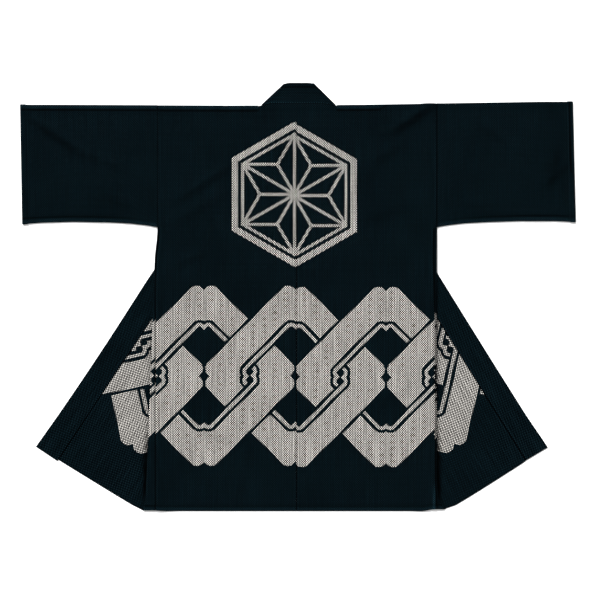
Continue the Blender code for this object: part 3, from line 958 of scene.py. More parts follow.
@dataclass(frozen=True)
class IndigoCotton:
    """Vat-dyed quilted-weave cotton, with or without an undyed print."""

    name: str
    printed: bool
    dyed_float: tuple[float, float, float] = (0.0037, 0.0117, 0.0162)
    dyed_ground: tuple[float, float, float] = (0.0, 0.0001, 0.0002)
    undyed_float: tuple[float, float, float] = (0.765, 0.735, 0.688)
    undyed_ground: tuple[float, float, float] = (0.003, 0.003, 0.003)
    roughness: float = 0.96
    gloss: float = 0.01
    relief: float = 0.45
    line_shade: float = 0.8         # how dark pressed lines and seams are in dyed cotton
    seam_shade: float = 0.85
    undyed_line: float = 0.35       # and in undyed cotton
    undyed_seam: float = 0.3
    turned_wear: float = 0.95       # dye worn off turned edges, and the painted highlight beside seams
    seam_highlight: float = 0.4

    def build(self, groups: CottonGroups) -> bpy.types.Material:
        """Build the material from the shared groups."""
        material, tree, shader = new_material(self.name)
        cut = tree.nodes.new("ShaderNodeUVMap")
        cut.uv_map = "Cut"
        place_out = cut.outputs["UV"]
        weave = self.group(tree, groups.weave, "Cut", place_out)
        pressed = self.group(tree, groups.pressed, "Distance", self.attribute(tree, "pressed"))
        tree.links.new(self.attribute(tree, "seam"), pressed.inputs["Seam"])
        float_mask = Wire(tree, weave.outputs["Float"])
        uneven = Wire(tree, weave.outputs["Uneven"])
        cloudy = noise(tree, place_out, 9.0, 3.0)
        line = Wire(tree, pressed.outputs["Line"]) * Wire(tree, self.attribute(tree, "crisp"))
        turned = Wire(tree, pressed.outputs["Turned"])
        sewn = Wire(tree, pressed.outputs["Sewn"])
        ridge_highlight = Wire(tree, pressed.outputs["Ridge highlight"])
        lit = Wire(tree, self.attribute(tree, "lit"))
        # painted shade and painted highlights come in through lit
        creased = (line * self.line_shade).larger(sewn * self.seam_shade).inverse() * lit
        creased_light = (line * self.undyed_line).larger(sewn * self.undyed_seam).inverse() * lit

        patchy = (uneven * 1.0 + 0.5) * (cloudy * 0.6 + 0.7)
        # the ridge beside each seam gets a painted highlight here
        depth = patchy * creased * (turned * self.turned_wear + ridge_highlight * self.seam_highlight + 1.0)
        dyed = blend(tree, self.dyed_ground, self.dyed_float, float_mask)
        colour = dyed = self.scaled(tree, dyed, depth)
        if self.printed:
            chain = Wire(tree, self.group(tree, groups.chain, "Cut", place_out).outputs["Undyed"])
            crest = Wire(tree, self.group(tree, groups.crest, "Cut", place_out).outputs["Undyed"])
            undyed = blend(tree, self.undyed_ground, self.undyed_float, float_mask)
            tone = Wire(tree, self.attribute(tree, "tone"))
            undyed = self.scaled(tree, undyed, tone * (uneven * 0.36 + 0.82) * creased_light)
            mix = tree.nodes.new("ShaderNodeMix")
            mix.data_type = "RGBA"
            chain.larger(crest).into(mix.inputs["Factor"])
            tree.links.new(dyed, mix.inputs["A"])
            tree.links.new(undyed, mix.inputs["B"])
            colour = mix.outputs["Result"]
        tree.links.new(colour, shader.inputs["Base Color"])

        shader.inputs["Roughness"].default_value = self.roughness
        shader.inputs["Specular IOR Level"].default_value = self.gloss
        height = Wire(tree, weave.outputs["Relief"]) - line * 0.6 - sewn * 0.8
        bump = tree.nodes.new("ShaderNodeBump")
        bump.inputs["Strength"].default_value = 0.8
        bump.inputs["Distance"].default_value = self.relief * MM
        height.into(bump.inputs["Height"])
        tree.links.new(bump.outputs["Normal"], shader.inputs["Normal"])
        return material

    @staticmethod
    def group(tree: bpy.types.NodeTree, group: bpy.types.NodeTree, entry: str,
              source: bpy.types.NodeSocket) -> bpy.types.Node:
        """Place a shared group and feed its entry."""
        node = tree.nodes.new("ShaderNodeGroup")
        node.node_tree = group
        tree.links.new(source, node.inputs[entry])
        return node

    @staticmethod
    def attribute(tree: bpy.types.NodeTree, name: str) -> bpy.types.NodeSocket:
        """Read a value that the mesh carries."""
        node = tree.nodes.new("ShaderNodeAttribute")
        node.attribute_name = name
        return node.outputs["Fac"]

    @staticmethod
    def scaled(tree: bpy.types.NodeTree, colour: bpy.types.NodeSocket,
               amount: Wire) -> bpy.types.NodeSocket:
        """Return a colour made lighter or darker by an amount."""
        node = tree.nodes.new("ShaderNodeVectorMath")
        node.operation = "SCALE"
        tree.links.new(colour, node.inputs[0])
        amount.into(node.inputs["Scale"])
        return node.outputs["Vector"]


@dataclass(frozen=True)
class SewingThread:
    """Matt dark cotton thread with a fine twist."""

    name: str = "Dark sewing thread"
    colour: tuple[float, float, float] = (0.0016, 0.0040, 0.0058)

    def build(self) -> bpy.types.Material:
        """Build the material."""
        material, tree, shader = new_material(self.name)
        where = tree.nodes.new("ShaderNodeTexCoord")
        twist = noise(tree, where.outputs["Object"], 2600.0, 1.0)
        dark, light = [c * 0.4 for c in self.colour], [c * 1.5 for c in self.colour]
        tree.links.new(blend(tree, dark, light, twist), shader.inputs["Base Color"])
        shader.inputs["Roughness"].default_value = 0.85
        shader.inputs["Specular IOR Level"].default_value = 0.02
        return material


@dataclass
class BodyLength:
    """One body length: back, shoulder fold, front, side fold and the turned front."""

    half: Half
    neck_columns: int = 11
    columns: int = 26
    strip_columns: int = 2
    flap_columns: int = 26

    def levels(self) -> list[float]:
        """Row levels, with one at each place where the cut changes."""
        stops = (self.half.turn_y, -PLAN.armhole, self.half.flap_corner[1])
        rows = stations(0.0, stops[0], HEM_OFFSETS, (0.0,))
        rows += stations(stops[0], stops[1], (0.0,), (0.0, 0.5))[1:]
        rows += stations(stops[1], stops[2], (0.0, 1.5), (0.0,))[1:]
        rows += stations(stops[2], -PLAN.back_length, (0.0,), HEM_OFFSETS)[1:]
        return rows

    def back_cut(self, x: float, y: float) -> Flat:
        """Place in the flat cut of a point of the back."""
        shift_x, shift_y = self.half.print_shift
        return self.half.sign * x + shift_x, y + PLAN.back_length + shift_y

    def front_cut(self, x: float, y: float) -> Flat:
        """Place in the flat cut of a point of the turned front."""
        half = self.half
        turn = math.radians(half.print_turn)
        right, up = x - half.print_spot[0], y - half.print_spot[1]
        across = half.sign * (right * math.cos(turn) + up * math.sin(turn)) / half.print_size
        along = (up * math.cos(turn) - right * math.sin(turn)) / half.print_size
        off_back = CHAIN.centre_across + FRONT_LINKS * CHAIN.pitch
        return across + off_back, along + CHAIN.centre_along

    def strip_cut(self, x: float, y: float) -> Flat:
        """Place in the flat cut of a point of the strip past the side seam."""
        across, _ = self.front_cut(*self.half.flap_corner)
        inward = self.half.front_width + self.half.strip_print - (x - self.half.side_seam_x(-y))
        return across - self.half.sign * inward, y + PLAN.back_length

    def turned_back(self, x: float, y: float) -> Flat:
        """Mirror a point of the unturned front across the crease."""
        aside = self.half.line_distance(x, y, self.half.crease_lean)
        turn = math.radians(self.half.crease_lean)
        return x - 2.0 * aside * math.cos(turn), y - 2.0 * aside * math.sin(turn)

    def back_knot(self, x: float, y: float, closed: bool, edge: float) -> Knot:
        """Make a knot of the back.

        Args:
            x: Its distance from the centre seam.
            y: Its level.
            closed: True below the armhole, where the side is sewn up.
            edge: Where its row ends.

        Returns:
            The knot.
        """
        half = self.half
        hem, side = y + PLAN.back_length, edge - x
        top = max(half.shoulder_y(x) - y, 0.0) if x >= half.neck_x else max(half.neck_y(x) - y, 0.0)
        full = hem_wall(hem)
        wall = min(full, edge_wall(max(x - PLAN.seam_gap / 2.0, 0.0), full))
        if not closed:
            wall = min(wall, edge_wall(max(side, 0.0), full))
        if x < half.neck_x:
            wall = min(wall, edge_wall(top, full))
        seam = allowance_rise(min(side, top), side)
        groove = 0.5 * bump_at(side, 0.0, 1.4) if closed else 0.0
        z = half.high(x, y) + half_wall(wall)
        line_top = top if x >= half.neck_x else FAR
        pressed = min(hem * PLAN.hem_line, line_top + half.line_fade(x), FAR)
        below_neck = top if x < half.neck_x else FAR
        nearest = min(x + 1.1 * (1.0 - smooth(20.0, 60.0, -y)), side, below_neck)
        # painted shade just below the neck seam, where the collar band's edge stands over the back
        lit = crease_light(half.sign * x, y) * (1.0 - 0.8 * bump_at(below_neck, 0.8, 1.3))
        crisp = lerp(0.55, 1.0, smooth(0.0, 60.0, hem))
        return Knot((x, y, z + seam - groove), self.back_cut(x, y), wall, pressed, crisp, nearest,
                    lit)

    def back_row(self, level: float, edge: float, closed: bool) -> list[Knot]:
        """Upper layer of one row, from the centre seam to the side or armhole seam."""
        half = self.half
        fade = max(0.0, 1.0 - level / half.turn_y)
        inner = stations(PLAN.seam_gap / 2.0, half.neck_x, EDGE_OFFSETS, (0.0,), self.neck_columns)
        outer = stations(half.neck_x, edge, (0.0,), HEM_OFFSETS, self.columns)
        row = []
        for x in inner[:-1] + outer:
            rise = half.neck_y(x) if x < half.neck_x else half.shoulder_y(x)
            row.append(self.back_knot(x, level + rise * fade, closed, edge))
        return row

    def strip_row(self, level: float, edge: float) -> list[Knot]:
        """Front cloth that shows past the side seam, the seam itself left out."""
        outer = self.half.fold_edge_x(-level) - (PLAN.room + PLAN.cloth) / 2.0
        outer = max(outer, edge + 0.8)
        hem = level + PLAN.back_length
        scale = min(1.0, (outer - edge) / 9.0)
        near = [offset * scale for offset in STRIP_OFFSETS]
        wall = hem_wall(hem)
        row = []
        for x in stations(edge, outer, near, near[:2], self.strip_columns)[1:]:
            z = self.half.high(x, level) + half_wall(wall)
            shaded = self.half.strip_shade * (1.0 - smooth(3.0, 5.6, x - edge))
            row.append(Knot((x, level, z), self.strip_cut(x, level), wall, min(hem, FAR),
                            seam=x - edge, lit=1.0 - shaded))
        return row

    def under_row(self, level: float, outer: float) -> list[Knot]:
        """Lower layer of one row, from below the outer edge in to the neck edge or crease."""
        half = self.half
        if level > half.turn_y:
            inner = lerp(half.neck_x, half.turn_x, level / half.turn_y)
        else:
            inner = half.crease_x(level) + (PLAN.room + PLAN.cloth) / 2.0
        fade = max(0.0, 1.0 - level / half.turn_y)
        hem = level + PLAN.back_length
        wall = min(hem_wall(hem), PLAN.cloth)
        row = []
        for x in scaled_stations(inner, outer, HEM_OFFSETS, self.columns)[::-1]:
            y = level + half.shoulder_y(x) * fade
            cut = self.front_cut(*self.turned_back(x, y))
            if outer > half.arm_x:
                back = smooth(outer - 150.0, outer, x)
                strip = self.strip_cut(x, y)
                cut = (lerp(cut[0], strip[0], back), lerp(cut[1], strip[1], back))
            row.append(Knot((x, y, half.low(x, y) + PLAN.cloth / 2.0), cut, wall, min(hem, FAR)))
        return row

    def flap_row(self, level: float, inner: float) -> list[Knot]:
        """Turned front of one row, on the surface, from the crease out to seam or hem."""
        half = self.half
        outer = half.collar_seam_x(level) - PLAN.seam_gap
        if level < half.flap_corner[1]:
            outer = min(outer, half.flap_hem_x(level))
        slope = math.radians(half.hem_slope)
        row = []
        for x in scaled_stations(inner, outer, HEM_OFFSETS, self.flap_columns):
            hem = max((half.flap_hem_x(level) - x) * math.sin(slope), 0.0)
            seam = max(-half.line_distance(x, level, half.flare), 0.0)
            full = hem_wall(hem)
            wall = min(full, edge_wall(seam, full))
            raised = 0.6 * swell(half.sign * x * 1.3, level) * smooth(0.0, 40.0, min(hem, seam))
            z = wall / 2.0 + raised * smooth(0.0, 30.0, x - inner)
            row.append(Knot((x, level, z), self.front_cut(x, level), wall, seam=seam,
                            lit=half.crevice_light(x, -level), tone=PLAN.front_tone))
        return row

    def lifted(self, knot: Knot) -> Knot:
        """Raise a knot near the hem's corner."""
        x, y, z = knot.spot
        return replace(knot, spot=(x, y + self.half.corner_lift(x, y), z))

    def close_shoulder(self, sheet: ClothSheet, back: list[int], under: list[int]) -> None:
        """Join the outer ends of the first rows of back and front over the shoulder."""
        grid = []
        for top, bottom in zip(back, under):
            fold = half_turn(sheet.knots[top], sheet.knots[bottom], (0.0, 1.0), (0.0, 1.0))
            grid.append([bottom] + sheet.add_row(fold[::-1]) + [top])
        for i in range(PLAN.fold_steps):
            sheet.join([column[i] for column in grid], [column[i + 1] for column in grid])

    def build(self, material: bpy.types.Material) -> bpy.types.Object:
        """Build the body length."""
        half = self.half
        sheet = ClothSheet(f"body_{half.name}_cloth")
        strip_count = self.strip_columns + len(STRIP_OFFSETS)
        rows = []
        ends = (0, 0)
        for level in self.levels():
            closed = -level >= PLAN.armhole
            edge = half.side_seam_x(-level) if closed else half.arm_x - PLAN.seam_gap / 2.0
            back = self.back_row(level, edge, closed)
            strip: list[Optional[Knot]] = [None] * strip_count
            side: list[Optional[Knot]] = [None] * (PLAN.fold_steps - 1)
            turn: list[Optional[Knot]] = [None] * (PLAN.fold_steps - 1)
            flap: list[Optional[Knot]] = [None] * (self.flap_columns + len(HEM_OFFSETS))
            under = self.under_row(level, edge)
            if closed:
                back[-1].next_cut = self.strip_cut(edge, level)
                strip = self.strip_row(level, edge)
                under = self.under_row(level, strip[-1].spot[0])
                side = half_turn(strip[-1], under[0], (1.0, 0.0), (half.sign, 0.0))
            if level < half.turn_y - 8.0:
                flap = self.flap_row(level, under[-1].spot[0])
                turn = half_turn(under[-1], flap[0], (-1.0, 0.0), (-half.sign, 0.0))
            row = back + strip + side + under + turn + flap
            rows.append(sheet.add_row([knot and self.lifted(knot) for knot in row]))
            ends = (len(back), len(back) + len(strip) + len(side))
        for row, next_row in zip(rows, rows[1:]):
            sheet.join(row, next_row)
        count = self.columns + len(HEM_OFFSETS)
        upper = rows[0][ends[0] - count:ends[0]]
        lower = rows[0][ends[1]:ends[1] + count][::-1]
        self.close_shoulder(sheet, upper, lower)
        LOG.info("%s: %d rows, %d faces", sheet.name, len(rows), len(sheet.faces))
        return sheet.make(half.sign, material)


@dataclass
class SleeveTube:
    """One straight sleeve: folded above, sewn below and pressed flat, open at both ends."""

    half: Half
    rows: int = 36
    cuff_inset: float = 2.7         # the cuff's pressed line lies this much nearer its edge

    def ring(self, travel: float, length: float) -> list[Knot]:
        """Make the knots once round the sleeve at a distance from the armhole."""
        half = self.half
        start = half.arm_x + PLAN.seam_gap / 2.0
        share = travel / length
        top = half.shoulder_y(start + travel) + PLAN.cloth / 2.0
        bottom = (PLAN.room + PLAN.cloth) / 2.0 - table_value(SLEEVE_EDGE, share)
        bottom -= half.cuff_drop * share * share
        wall = min(hem_wall(length - travel), edge_wall(travel, PLAN.doubled))
        extra = max(wall - PLAN.cloth, 0.0)
        lower, upper = [], []
        for y in stations(bottom, top, HEM_OFFSETS, HEM_OFFSETS, self.rows):
            cuff = lerp(half.cuff_top, half.cuff_bottom, (top - y) / (top - bottom))
            x = lerp(start, cuff, share)
            cuff_fade = smooth(half.cuff_line - 30.0, half.cuff_line, top - y) * FAR
            cuff_line = length - travel + self.cuff_inset + cuff_fade
            pressed = min(top - y + half.line_fade(x), y - bottom, cuff_line, FAR)
            near = min(y - bottom, top - y)
            seam = allowance_rise(near, near)
            low_z = half.low(x, y) + PLAN.cloth / 2.0 + extra / 2.0
            high_z = half.high(x, y) + PLAN.cloth / 2.0 + extra * 1.5 + seam
            around = y - bottom
            crisp = lerp(0.3, 1.0, smooth(0.08, 0.45, share)) if pressed == around else 1.0
            lower.append(Knot((x, y, low_z), (half.sign * travel, around), wall, pressed, crisp,
                              travel))
            back_around = 2.0 * (top - bottom) - around
            upper.append(Knot((x, y, high_z), (half.sign * travel, back_around), wall, pressed,
                              crisp, travel, crease_light(half.sign * x, y)))
        upper.reverse()
        fold = half_turn(lower[-1], upper[0], (0.0, 1.0), (0.0, 1.0))
        seam_turn = half_turn(upper[-1], lower[0], (0.0, -1.0), (0.0, 1.0))
        return lower + fold + upper + seam_turn

    def build(self, material: bpy.types.Material) -> bpy.types.Object:
        """Build the sleeve."""
        half = self.half
        sheet = ClothSheet(f"sleeve_{half.name}_cloth")
        length = half.cuff_top - half.arm_x - PLAN.seam_gap / 2.0
        rings = []
        for travel in stations(0.0, length, EDGE_OFFSETS, HEM_OFFSETS):
            ring = sheet.add_row(self.ring(travel, length))
            rings.append(ring + ring[:1])
        for ring, next_ring in zip(rings, rings[1:]):
            sheet.join(ring, next_ring)
        LOG.info("%s: %d rings, %d faces", sheet.name, len(rings), len(sheet.faces))
        return sheet.make(half.sign, material)


@dataclass
class CollarBand:
    """The doubled collar: up behind the neck, folded over each side and down both fronts."""

    columns: int = 6
    roll_in: float = 9.2            # soft line this far below the top edge
    neck_gap: float = 0.15
    seam_out: float = 1.8           # the neck seam's ridge, which gets a painted highlight, lies this far out
    roll_depth: float = 0.9
    roll_shade: float = 0.95        # how dark the roll's line is
    ridge_light: float = 0.9        # painted highlight on the ridge over the neck seam
    crown_power: int = 10           # how square the band's top is

    @property
    def shares(self) -> list[float]:
        """Places across the band, from 0 at its seam to 1 at its top edge."""
        near_top = (0.0, 0.4, 1.2, 2.8, 5.6, 8.0, 9.4, 10.4, 11.4, 12.6, 14.4)
        return squeezed(stations(0.0, 50.0, EDGE_OFFSETS, near_top, self.columns), 0.0, 1.0)

    @property
    def top_z(self) -> float:
        """Underside of the part behind the neck."""
        return PLAN.band_room + 1.0

    def fold_line(self, half: Half) -> tuple[Flat, Flat]:
        """Return the lower and upper end of the slanted fold beside the neck."""
        lean = (half.collar_side_x - half.collar_top_x) / PLAN.collar_rise
        bulge = self.top_z / 2.0 + PLAN.band / 2.0 / math.cos(math.atan(lean))
        top_y = PLAN.collar_rise + half.collar_crown - PLAN.band / 2.0 * math.sin(math.atan(lean))
        foot_x = half.collar_top_x + (PLAN.collar_rise - PLAN.neck_rise / 2.0) * lean - bulge
        return (foot_x, half.neck_y(foot_x) + self.neck_gap), (half.collar_top_x - bulge, top_y)

    def wall_at(self, aside: float) -> float:
        """Wall of the band at a distance from its nearer long edge."""
        return edge_wall(max(aside, 0.0), PLAN.band)

    def neck_rows(self) -> list[list[Knot]]:
        """Knots behind the neck, a row for each place across the band."""
        left, right = HALVES
        (left_foot, left_top), (right_foot, right_top) = self.fold_line(left), self.fold_line(right)
        feet = stations(-left_foot[0], 0.0) + stations(0.0, right_foot[0])[1:]
        rows = []
        for share in self.shares:
            row = []
            for foot in feet:
                half = left if foot < 0.0 else right
                across = (foot - feet[0]) / (feet[-1] - feet[0])
                top_x = lerp(-left_top[0], right_top[0], across)
                seam_y = half.neck_y(abs(foot)) + self.neck_gap
                end = foot in (feet[0], feet[-1])
                crown = PLAN.collar_lift * (1.0 - (2.0 * across - 1.0) ** self.crown_power)
                top_y = self.fold_line(half)[1][1] if end else PLAN.collar_rise + crown
                x, y = lerp(foot, top_x, share), lerp(seam_y, top_y, share)
                from_top, from_seam = top_y - y, y - seam_y
                roll = self.roll_depth * bump_at(from_top, self.roll_in, 1.8)
                roll += 0.5 * (1.0 - smooth(0.0, self.roll_in, from_top))
                z = self.top_z + PLAN.band / 2.0 - roll
                # painted shade along the roll's line, then a painted highlight over the neck seam
                lit = 1.0 - self.roll_shade * bump_at(from_top, self.roll_in + 0.5, 2.0)
                lit += self.ridge_light * bump_at(from_seam, 0.9, 1.0)
                row.append(Knot((x, y, z), (y, x), self.wall_at(from_top),
                                seam=from_seam + self.seam_out, lit=lit))
            rows.append(row)
        return rows

    def leg_rows(self, half: Half) -> list[list[Knot]]:
        """Knots of one turned end: rows from the neck fold to the front hem."""
        foot, top = self.fold_line(half)
        turn = math.radians(half.flare)
        out = (half.band_width * math.cos(turn), half.band_width * math.sin(turn))
        corner_x, corner_y = half.flap_corner
        end = (corner_x + half.end_in * math.sin(turn), corner_y - half.end_in * math.cos(turn))
        start = (half.turn_x, half.turn_y)
        beside = math.dist(top, start)
        length = math.dist(start, end)
        rows = []
        for travel in stations(0.0, beside)[1:] + [beside + t for t in stations(
                0.0, length, (0.0,), EDGE_OFFSETS)[1:]]:
            share = min(travel / beside, 1.0)
            down = max(travel - beside, 0.0) / length
            inner = (lerp(lerp(top[0], start[0], share), end[0], down),
                     lerp(lerp(top[1], start[1], share), end[1], down))
            bow = math.sin(math.pi * max(down - PLAN.bow_start, 0.0) / (1.0 - PLAN.bow_start))
            flick = half.band_flick * smooth(0.88, 1.0, down)
            width = 1.0 + (flick - half.band_bow * bow) / half.band_width
            reach = down * (1.0 + (half.end_out - half.end_in) / length)
            outer = (lerp(foot[0], start[0] + out[0] * width, share) + (end[0] - start[0]) * reach,
                     lerp(foot[1], start[1] + out[1] * width, share) + (end[1] - start[1]) * reach)
            rows.append([self.leg_knot(half, inner, outer, place_across, travel,
                                       beside + length - travel) for place_across in self.shares])
        return rows

    def leg_knot(self, half: Half, inner: Flat, outer: Flat, share: float, travel: float,
                 from_end: float) -> Knot:
        """Make one knot of a turned end.

        Args:
            half: Its side of the coat.
            inner: Seam side of its row.
            outer: Free edge of its row.
            share: Its place across, from 0 at the free edge to 1 at the seam.
            travel: Distance of the row from the neck fold.
            from_end: Distance of the row from the band's end.

        Returns:
            The knot.
        """
        across = share * half.band_width
        aside = min(across, half.band_width - across, from_end)
        spot = (half.sign * lerp(outer[0], inner[0], share), lerp(outer[1], inner[1], share),
                PLAN.band / 2.0)
        cut = (across, half.sign * (travel + half.collar_side_x))
        return Knot(spot, cut, self.wall_at(aside), seam=half.band_width - across)

    def build(self, material: bpy.types.Material) -> bpy.types.Object:
        """Build the band in one piece."""
        sheet = ClothSheet("collar_cloth")
        grid = [sheet.add_row(row) for row in self.neck_rows()]
        for row, next_row in zip(grid, grid[1:]):
            sheet.join(row, next_row)
        for half in HALVES:
            edge = [row[0] if half.sign < 0.0 else row[-1] for row in grid]
            folds, floor = [], []
            for number in edge:
                knot = sheet.knots[number]
                spot = (knot.spot[0], knot.spot[1], PLAN.band / 2.0)
                below = Knot(spot, knot.cut, knot.wall)
                floor.append(below)
                folds.append(half_turn(knot, below, (half.sign, 0.0), (0.0, half.sign)))
            rows = [edge]
            rows += [sheet.add_row([fold[i] for fold in folds]) for i in range(PLAN.fold_steps - 1)]
            rows.append(sheet.add_row(floor))
            rows += [sheet.add_row(row) for row in self.leg_rows(half)]
            if half.sign > 0.0:
                rows.reverse()
            for row, next_row in zip(rows, rows[1:]):
                sheet.join(row, next_row)
        LOG.info("%s: %d faces", sheet.name, len(sheet.faces))
        return sheet.make(1.0, material)


@dataclass
class RunningStitches:
    """Rows of hand stitches that hold the turned hems."""

    length: float = 3.6
    radius: float = 0.34
    pitch: float = 10.0

    def model(self) -> bpy.types.Object:
        """Model one stitch along X: a short thread that dives into the cloth at both ends."""
        bpy.ops.object.select_all(action="DESELECT")
        bpy.ops.mesh.primitive_cylinder_add(vertices=6, radius=self.radius * MM,
                                            depth=self.length * MM, end_fill_type="NGON",
                                            rotation=(0.0, math.pi / 2.0, 0.0))
        stitch = bpy.context.object
        bpy.ops.object.transform_apply(location=False, rotation=True, scale=False)
        bpy.ops.object.mode_set(mode="EDIT")
        bpy.ops.mesh.select_mode(type="FACE")
        self.pick_faces(stitch, 1.0)
        self.draw_end(1.0)
        self.pick_faces(stitch, -1.0)
        self.draw_end(-1.0)
        bpy.ops.object.mode_set(mode="OBJECT")
        bpy.ops.object.shade_smooth()
        stitch.select_set(False)
        return stitch

    @staticmethod
    def pick_faces(stitch: bpy.types.Object, way: float) -> None:
        """Select the end face that looks along X by way."""
        bpy.ops.mesh.select_all(action="DESELECT")
        bpy.ops.object.mode_set(mode="OBJECT")
        for polygon in stitch.data.polygons:
            polygon.select = polygon.normal.x * way > 0.9
        bpy.ops.object.mode_set(mode="EDIT")

    def draw_end(self, way: float) -> None:
        """Extrude the selected end on and down, thinner."""
        for run, drop, size in ((0.34, -0.10, 0.82), (0.26, -0.34, 0.6)):
            bpy.ops.mesh.extrude_region_move(
                TRANSFORM_OT_translate={"value": (way * run * MM, 0.0, drop * MM)})
            bpy.ops.transform.resize(value=(1.0, size, size))

    def lay(self, name: str, model: bpy.types.Object, cloth: bpy.types.Object,
            lines: Sequence[tuple[Flat, Flat]], material: bpy.types.Material) -> bpy.types.Object:
        """Lay copies of the stitch on a cloth along lines in plan and join them.

        Args:
            name: Name of the joined object.
            model: The stitch.
            cloth: What they lie on.
            lines: Ends of each row, x signed.
            material: The thread.

        Returns:
            The joined stitches.
        """
        copies = []
        for start, end in lines:
            length = math.dist(start, end)
            turn = math.atan2(end[1] - start[1], end[0] - start[0])
            for i in range(int(length / self.pitch)):
                share = (i + 0.5) * self.pitch / length
                x, y, _ = place(lerp(start[0], end[0], share), lerp(start[1], end[1], share), 0.0)
                hit, spot, _, _ = cloth.ray_cast(Vector((x, y, 0.1)), Vector((0.0, 0.0, -1.0)))
                if not hit:
                    continue
                copy = bpy.data.objects.new(name, model.data.copy())
                bpy.context.scene.collection.objects.link(copy)
                lean = Matrix.Rotation(turn + 0.05 * math.sin(7.0 * i), 4, "Z")
                copy.data.transform(Matrix.Translation(spot + Vector((0.0, 0.0, 0.00012))) @ lean)
                copies.append(copy)
        bpy.ops.object.select_all(action="DESELECT")
        for copy in copies:
            copy.select_set(True)
        bpy.context.view_layer.objects.active = copies[0]
        bpy.ops.object.join()
        joined = bpy.context.object
        joined.name = name
        joined.data.materials.clear()
        joined.data.materials.append(material)
        joined.select_set(False)
        return joined


@dataclass
class CoatOnSurface:
    """The whole coat: builds each piece and ties it to the frame."""

    groups: CottonGroups = field(default_factory=CottonGroups)
    stitches: RunningStitches = field(default_factory=RunningStitches)

    def build(self) -> None:
        """Build all pieces."""
        body = IndigoCotton("Printed indigo cotton", True).build(self.groups)
        sleeve = IndigoCotton("Plain indigo cotton", False).build(self.groups)
        collar = IndigoCotton("Collar indigo cotton", False).build(self.groups)
        thread = SewingThread().build()
        model = self.stitches.model()
        for half in HALVES:
            cloth = BodyLength(half).build(body)
            sewn = self.stitches.lay(f"body_{half.name}_stitches", model, cloth,
                                     self.body_lines(half), thread)
            self.tie(cloth, f"body_{half.name}", Finish.BODY)
            self.tie(sewn, None, Finish.BODY)
            tube = SleeveTube(half).build(sleeve)
            sewn = self.stitches.lay(f"sleeve_{half.name}_stitches", model, tube,
                                     self.cuff_lines(half), thread)
            self.tie(tube, f"sleeve_{half.name}", Finish.SLEEVE)
            self.tie(sewn, None, Finish.SLEEVE)
        band = CollarBand().build(collar)
        self.tie(band, "collar", Finish.COLLAR)
        bpy.data.objects.remove(model)

    @staticmethod
    def tie(piece: bpy.types.Object, node: Optional[str], finish: Finish) -> None:
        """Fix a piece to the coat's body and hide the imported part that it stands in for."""
        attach(piece, "root")
        if node is not None:
            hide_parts(node)

    @staticmethod
    def body_lines(half: Half) -> list[tuple[Flat, Flat]]:
        """Stitch lines of a body length: the back hem, then the turned front's hem."""
        hem_y = PLAN.hem_turn - PLAN.back_length
        slope = math.radians(half.hem_slope)
        in_x, in_y = -PLAN.hem_turn * math.sin(slope), PLAN.hem_turn * math.cos(slope)
        corner_x, corner_y = half.flap_corner
        back = ((half.sign * 8.0, hem_y), (half.sign * (half.hem_corner_x - 6.0), hem_y))
        front = ((half.sign * (corner_x + in_x), corner_y + in_y),
                 (half.sign * (half.hem_corner_x + 4.0), hem_y + 4.0))
        return [back, front]

    @staticmethod
    def cuff_lines(half: Half) -> list[tuple[Flat, Flat]]:
        """Stitch lines of a sleeve, along its cuff."""
        top = (half.sign * (half.cuff_top - PLAN.hem_turn), half.shoulder_y(half.cuff_top) - 6.0)
        bottom = (half.sign * (half.cuff_bottom - PLAN.hem_turn), 6.0 - SLEEVE_EDGE[-1][1])
        return [(top, bottom)]


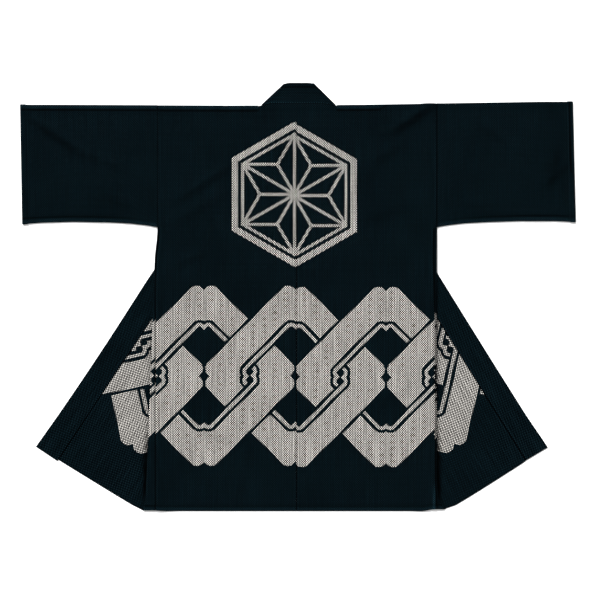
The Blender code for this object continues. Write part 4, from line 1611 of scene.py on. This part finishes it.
@dataclass(frozen=True)
class PhotoStage:
    """Plain pale floor, soft studio light and the camera above the coat."""

    lens: float = 100.0
    sensor: float = 36.0
    distance: float = 3.667
    aim_x: float = 0.0047
    aim_y: float = -0.0054
    surround: float = 0.72          # light of the white surround
    backdrop: float = 1.1           # and how bright it looks behind the floor
    key_strength: float = 7.3
    key_size: float = 26.0          # degrees across
    key_from: Point = (-0.55, 1.0, 0.90)
    floor_half: float = 12.0
    floor_dark: float = 0.90        # darkest and lightest white of its grain
    floor_light: float = 0.94

    def build(self) -> None:
        """Build floor, light and camera."""
        self.floor()
        self.light()
        self.camera()

    def floor(self) -> None:
        """Lay a matt white floor under the coat."""
        bpy.ops.object.select_all(action="DESELECT")
        bpy.ops.mesh.primitive_plane_add(size=2.0 * self.floor_half, location=(0.0, 0.0, -0.0002))
        floor = bpy.context.object
        floor.name = "studio_floor"
        material, tree, shader = new_material("Matt white floor")
        where = tree.nodes.new("ShaderNodeTexCoord")
        grain = noise(tree, where.outputs["Object"], 300.0, 2.0)
        white = blend(tree, (self.floor_dark,) * 3, (self.floor_light,) * 3, grain)
        tree.links.new(white, shader.inputs["Base Color"])
        shader.inputs["Roughness"].default_value = 1.0
        shader.inputs["Specular IOR Level"].default_value = 0.0
        floor.data.materials.append(material)
        floor.select_set(False)

    def light(self) -> None:
        """Set an even white surround and one large soft light to the upper left."""
        scene = bpy.context.scene
        world = bpy.data.worlds.new("White studio")
        world.use_nodes = True
        background = world.node_tree.nodes["Background"]
        background.inputs["Color"].default_value = (1.0, 1.0, 1.0, 1.0)
        rays = world.node_tree.nodes.new("ShaderNodeLightPath")
        seen = Wire(world.node_tree, rays.outputs["Is Camera Ray"])
        (seen * (self.backdrop - self.surround) + self.surround).into(background.inputs["Strength"])
        scene.world = world
        key = bpy.data.lights.new("Soft key", "SUN")
        key.energy = self.key_strength
        key.angle = math.radians(self.key_size)
        holder = bpy.data.objects.new("Soft key", key)
        holder.location = self.key_from
        holder.rotation_euler = Vector(self.key_from).to_track_quat("Z", "Y").to_euler()
        scene.collection.objects.link(holder)
        scene.view_settings.view_transform = "Standard"

    def camera(self) -> None:
        """Hang the camera straight above, as in the photograph."""
        data = bpy.data.cameras.new("Above the coat")
        data.lens = self.lens
        data.sensor_width = self.sensor
        data.clip_start = 0.1
        data.clip_end = 50.0
        camera = bpy.data.objects.new("Above the coat", data)
        camera.location = (self.aim_x, self.aim_y, self.distance)
        bpy.context.scene.collection.objects.link(camera)
        bpy.context.scene.camera = camera


def main() -> None:
    """Build the coat on its stage."""
    logging.basicConfig(level=logging.INFO, format="%(name)s: %(message)s")
    PhotoStage().build()
    CoatOnSurface().build()


if __name__ == "__main__":
    main()
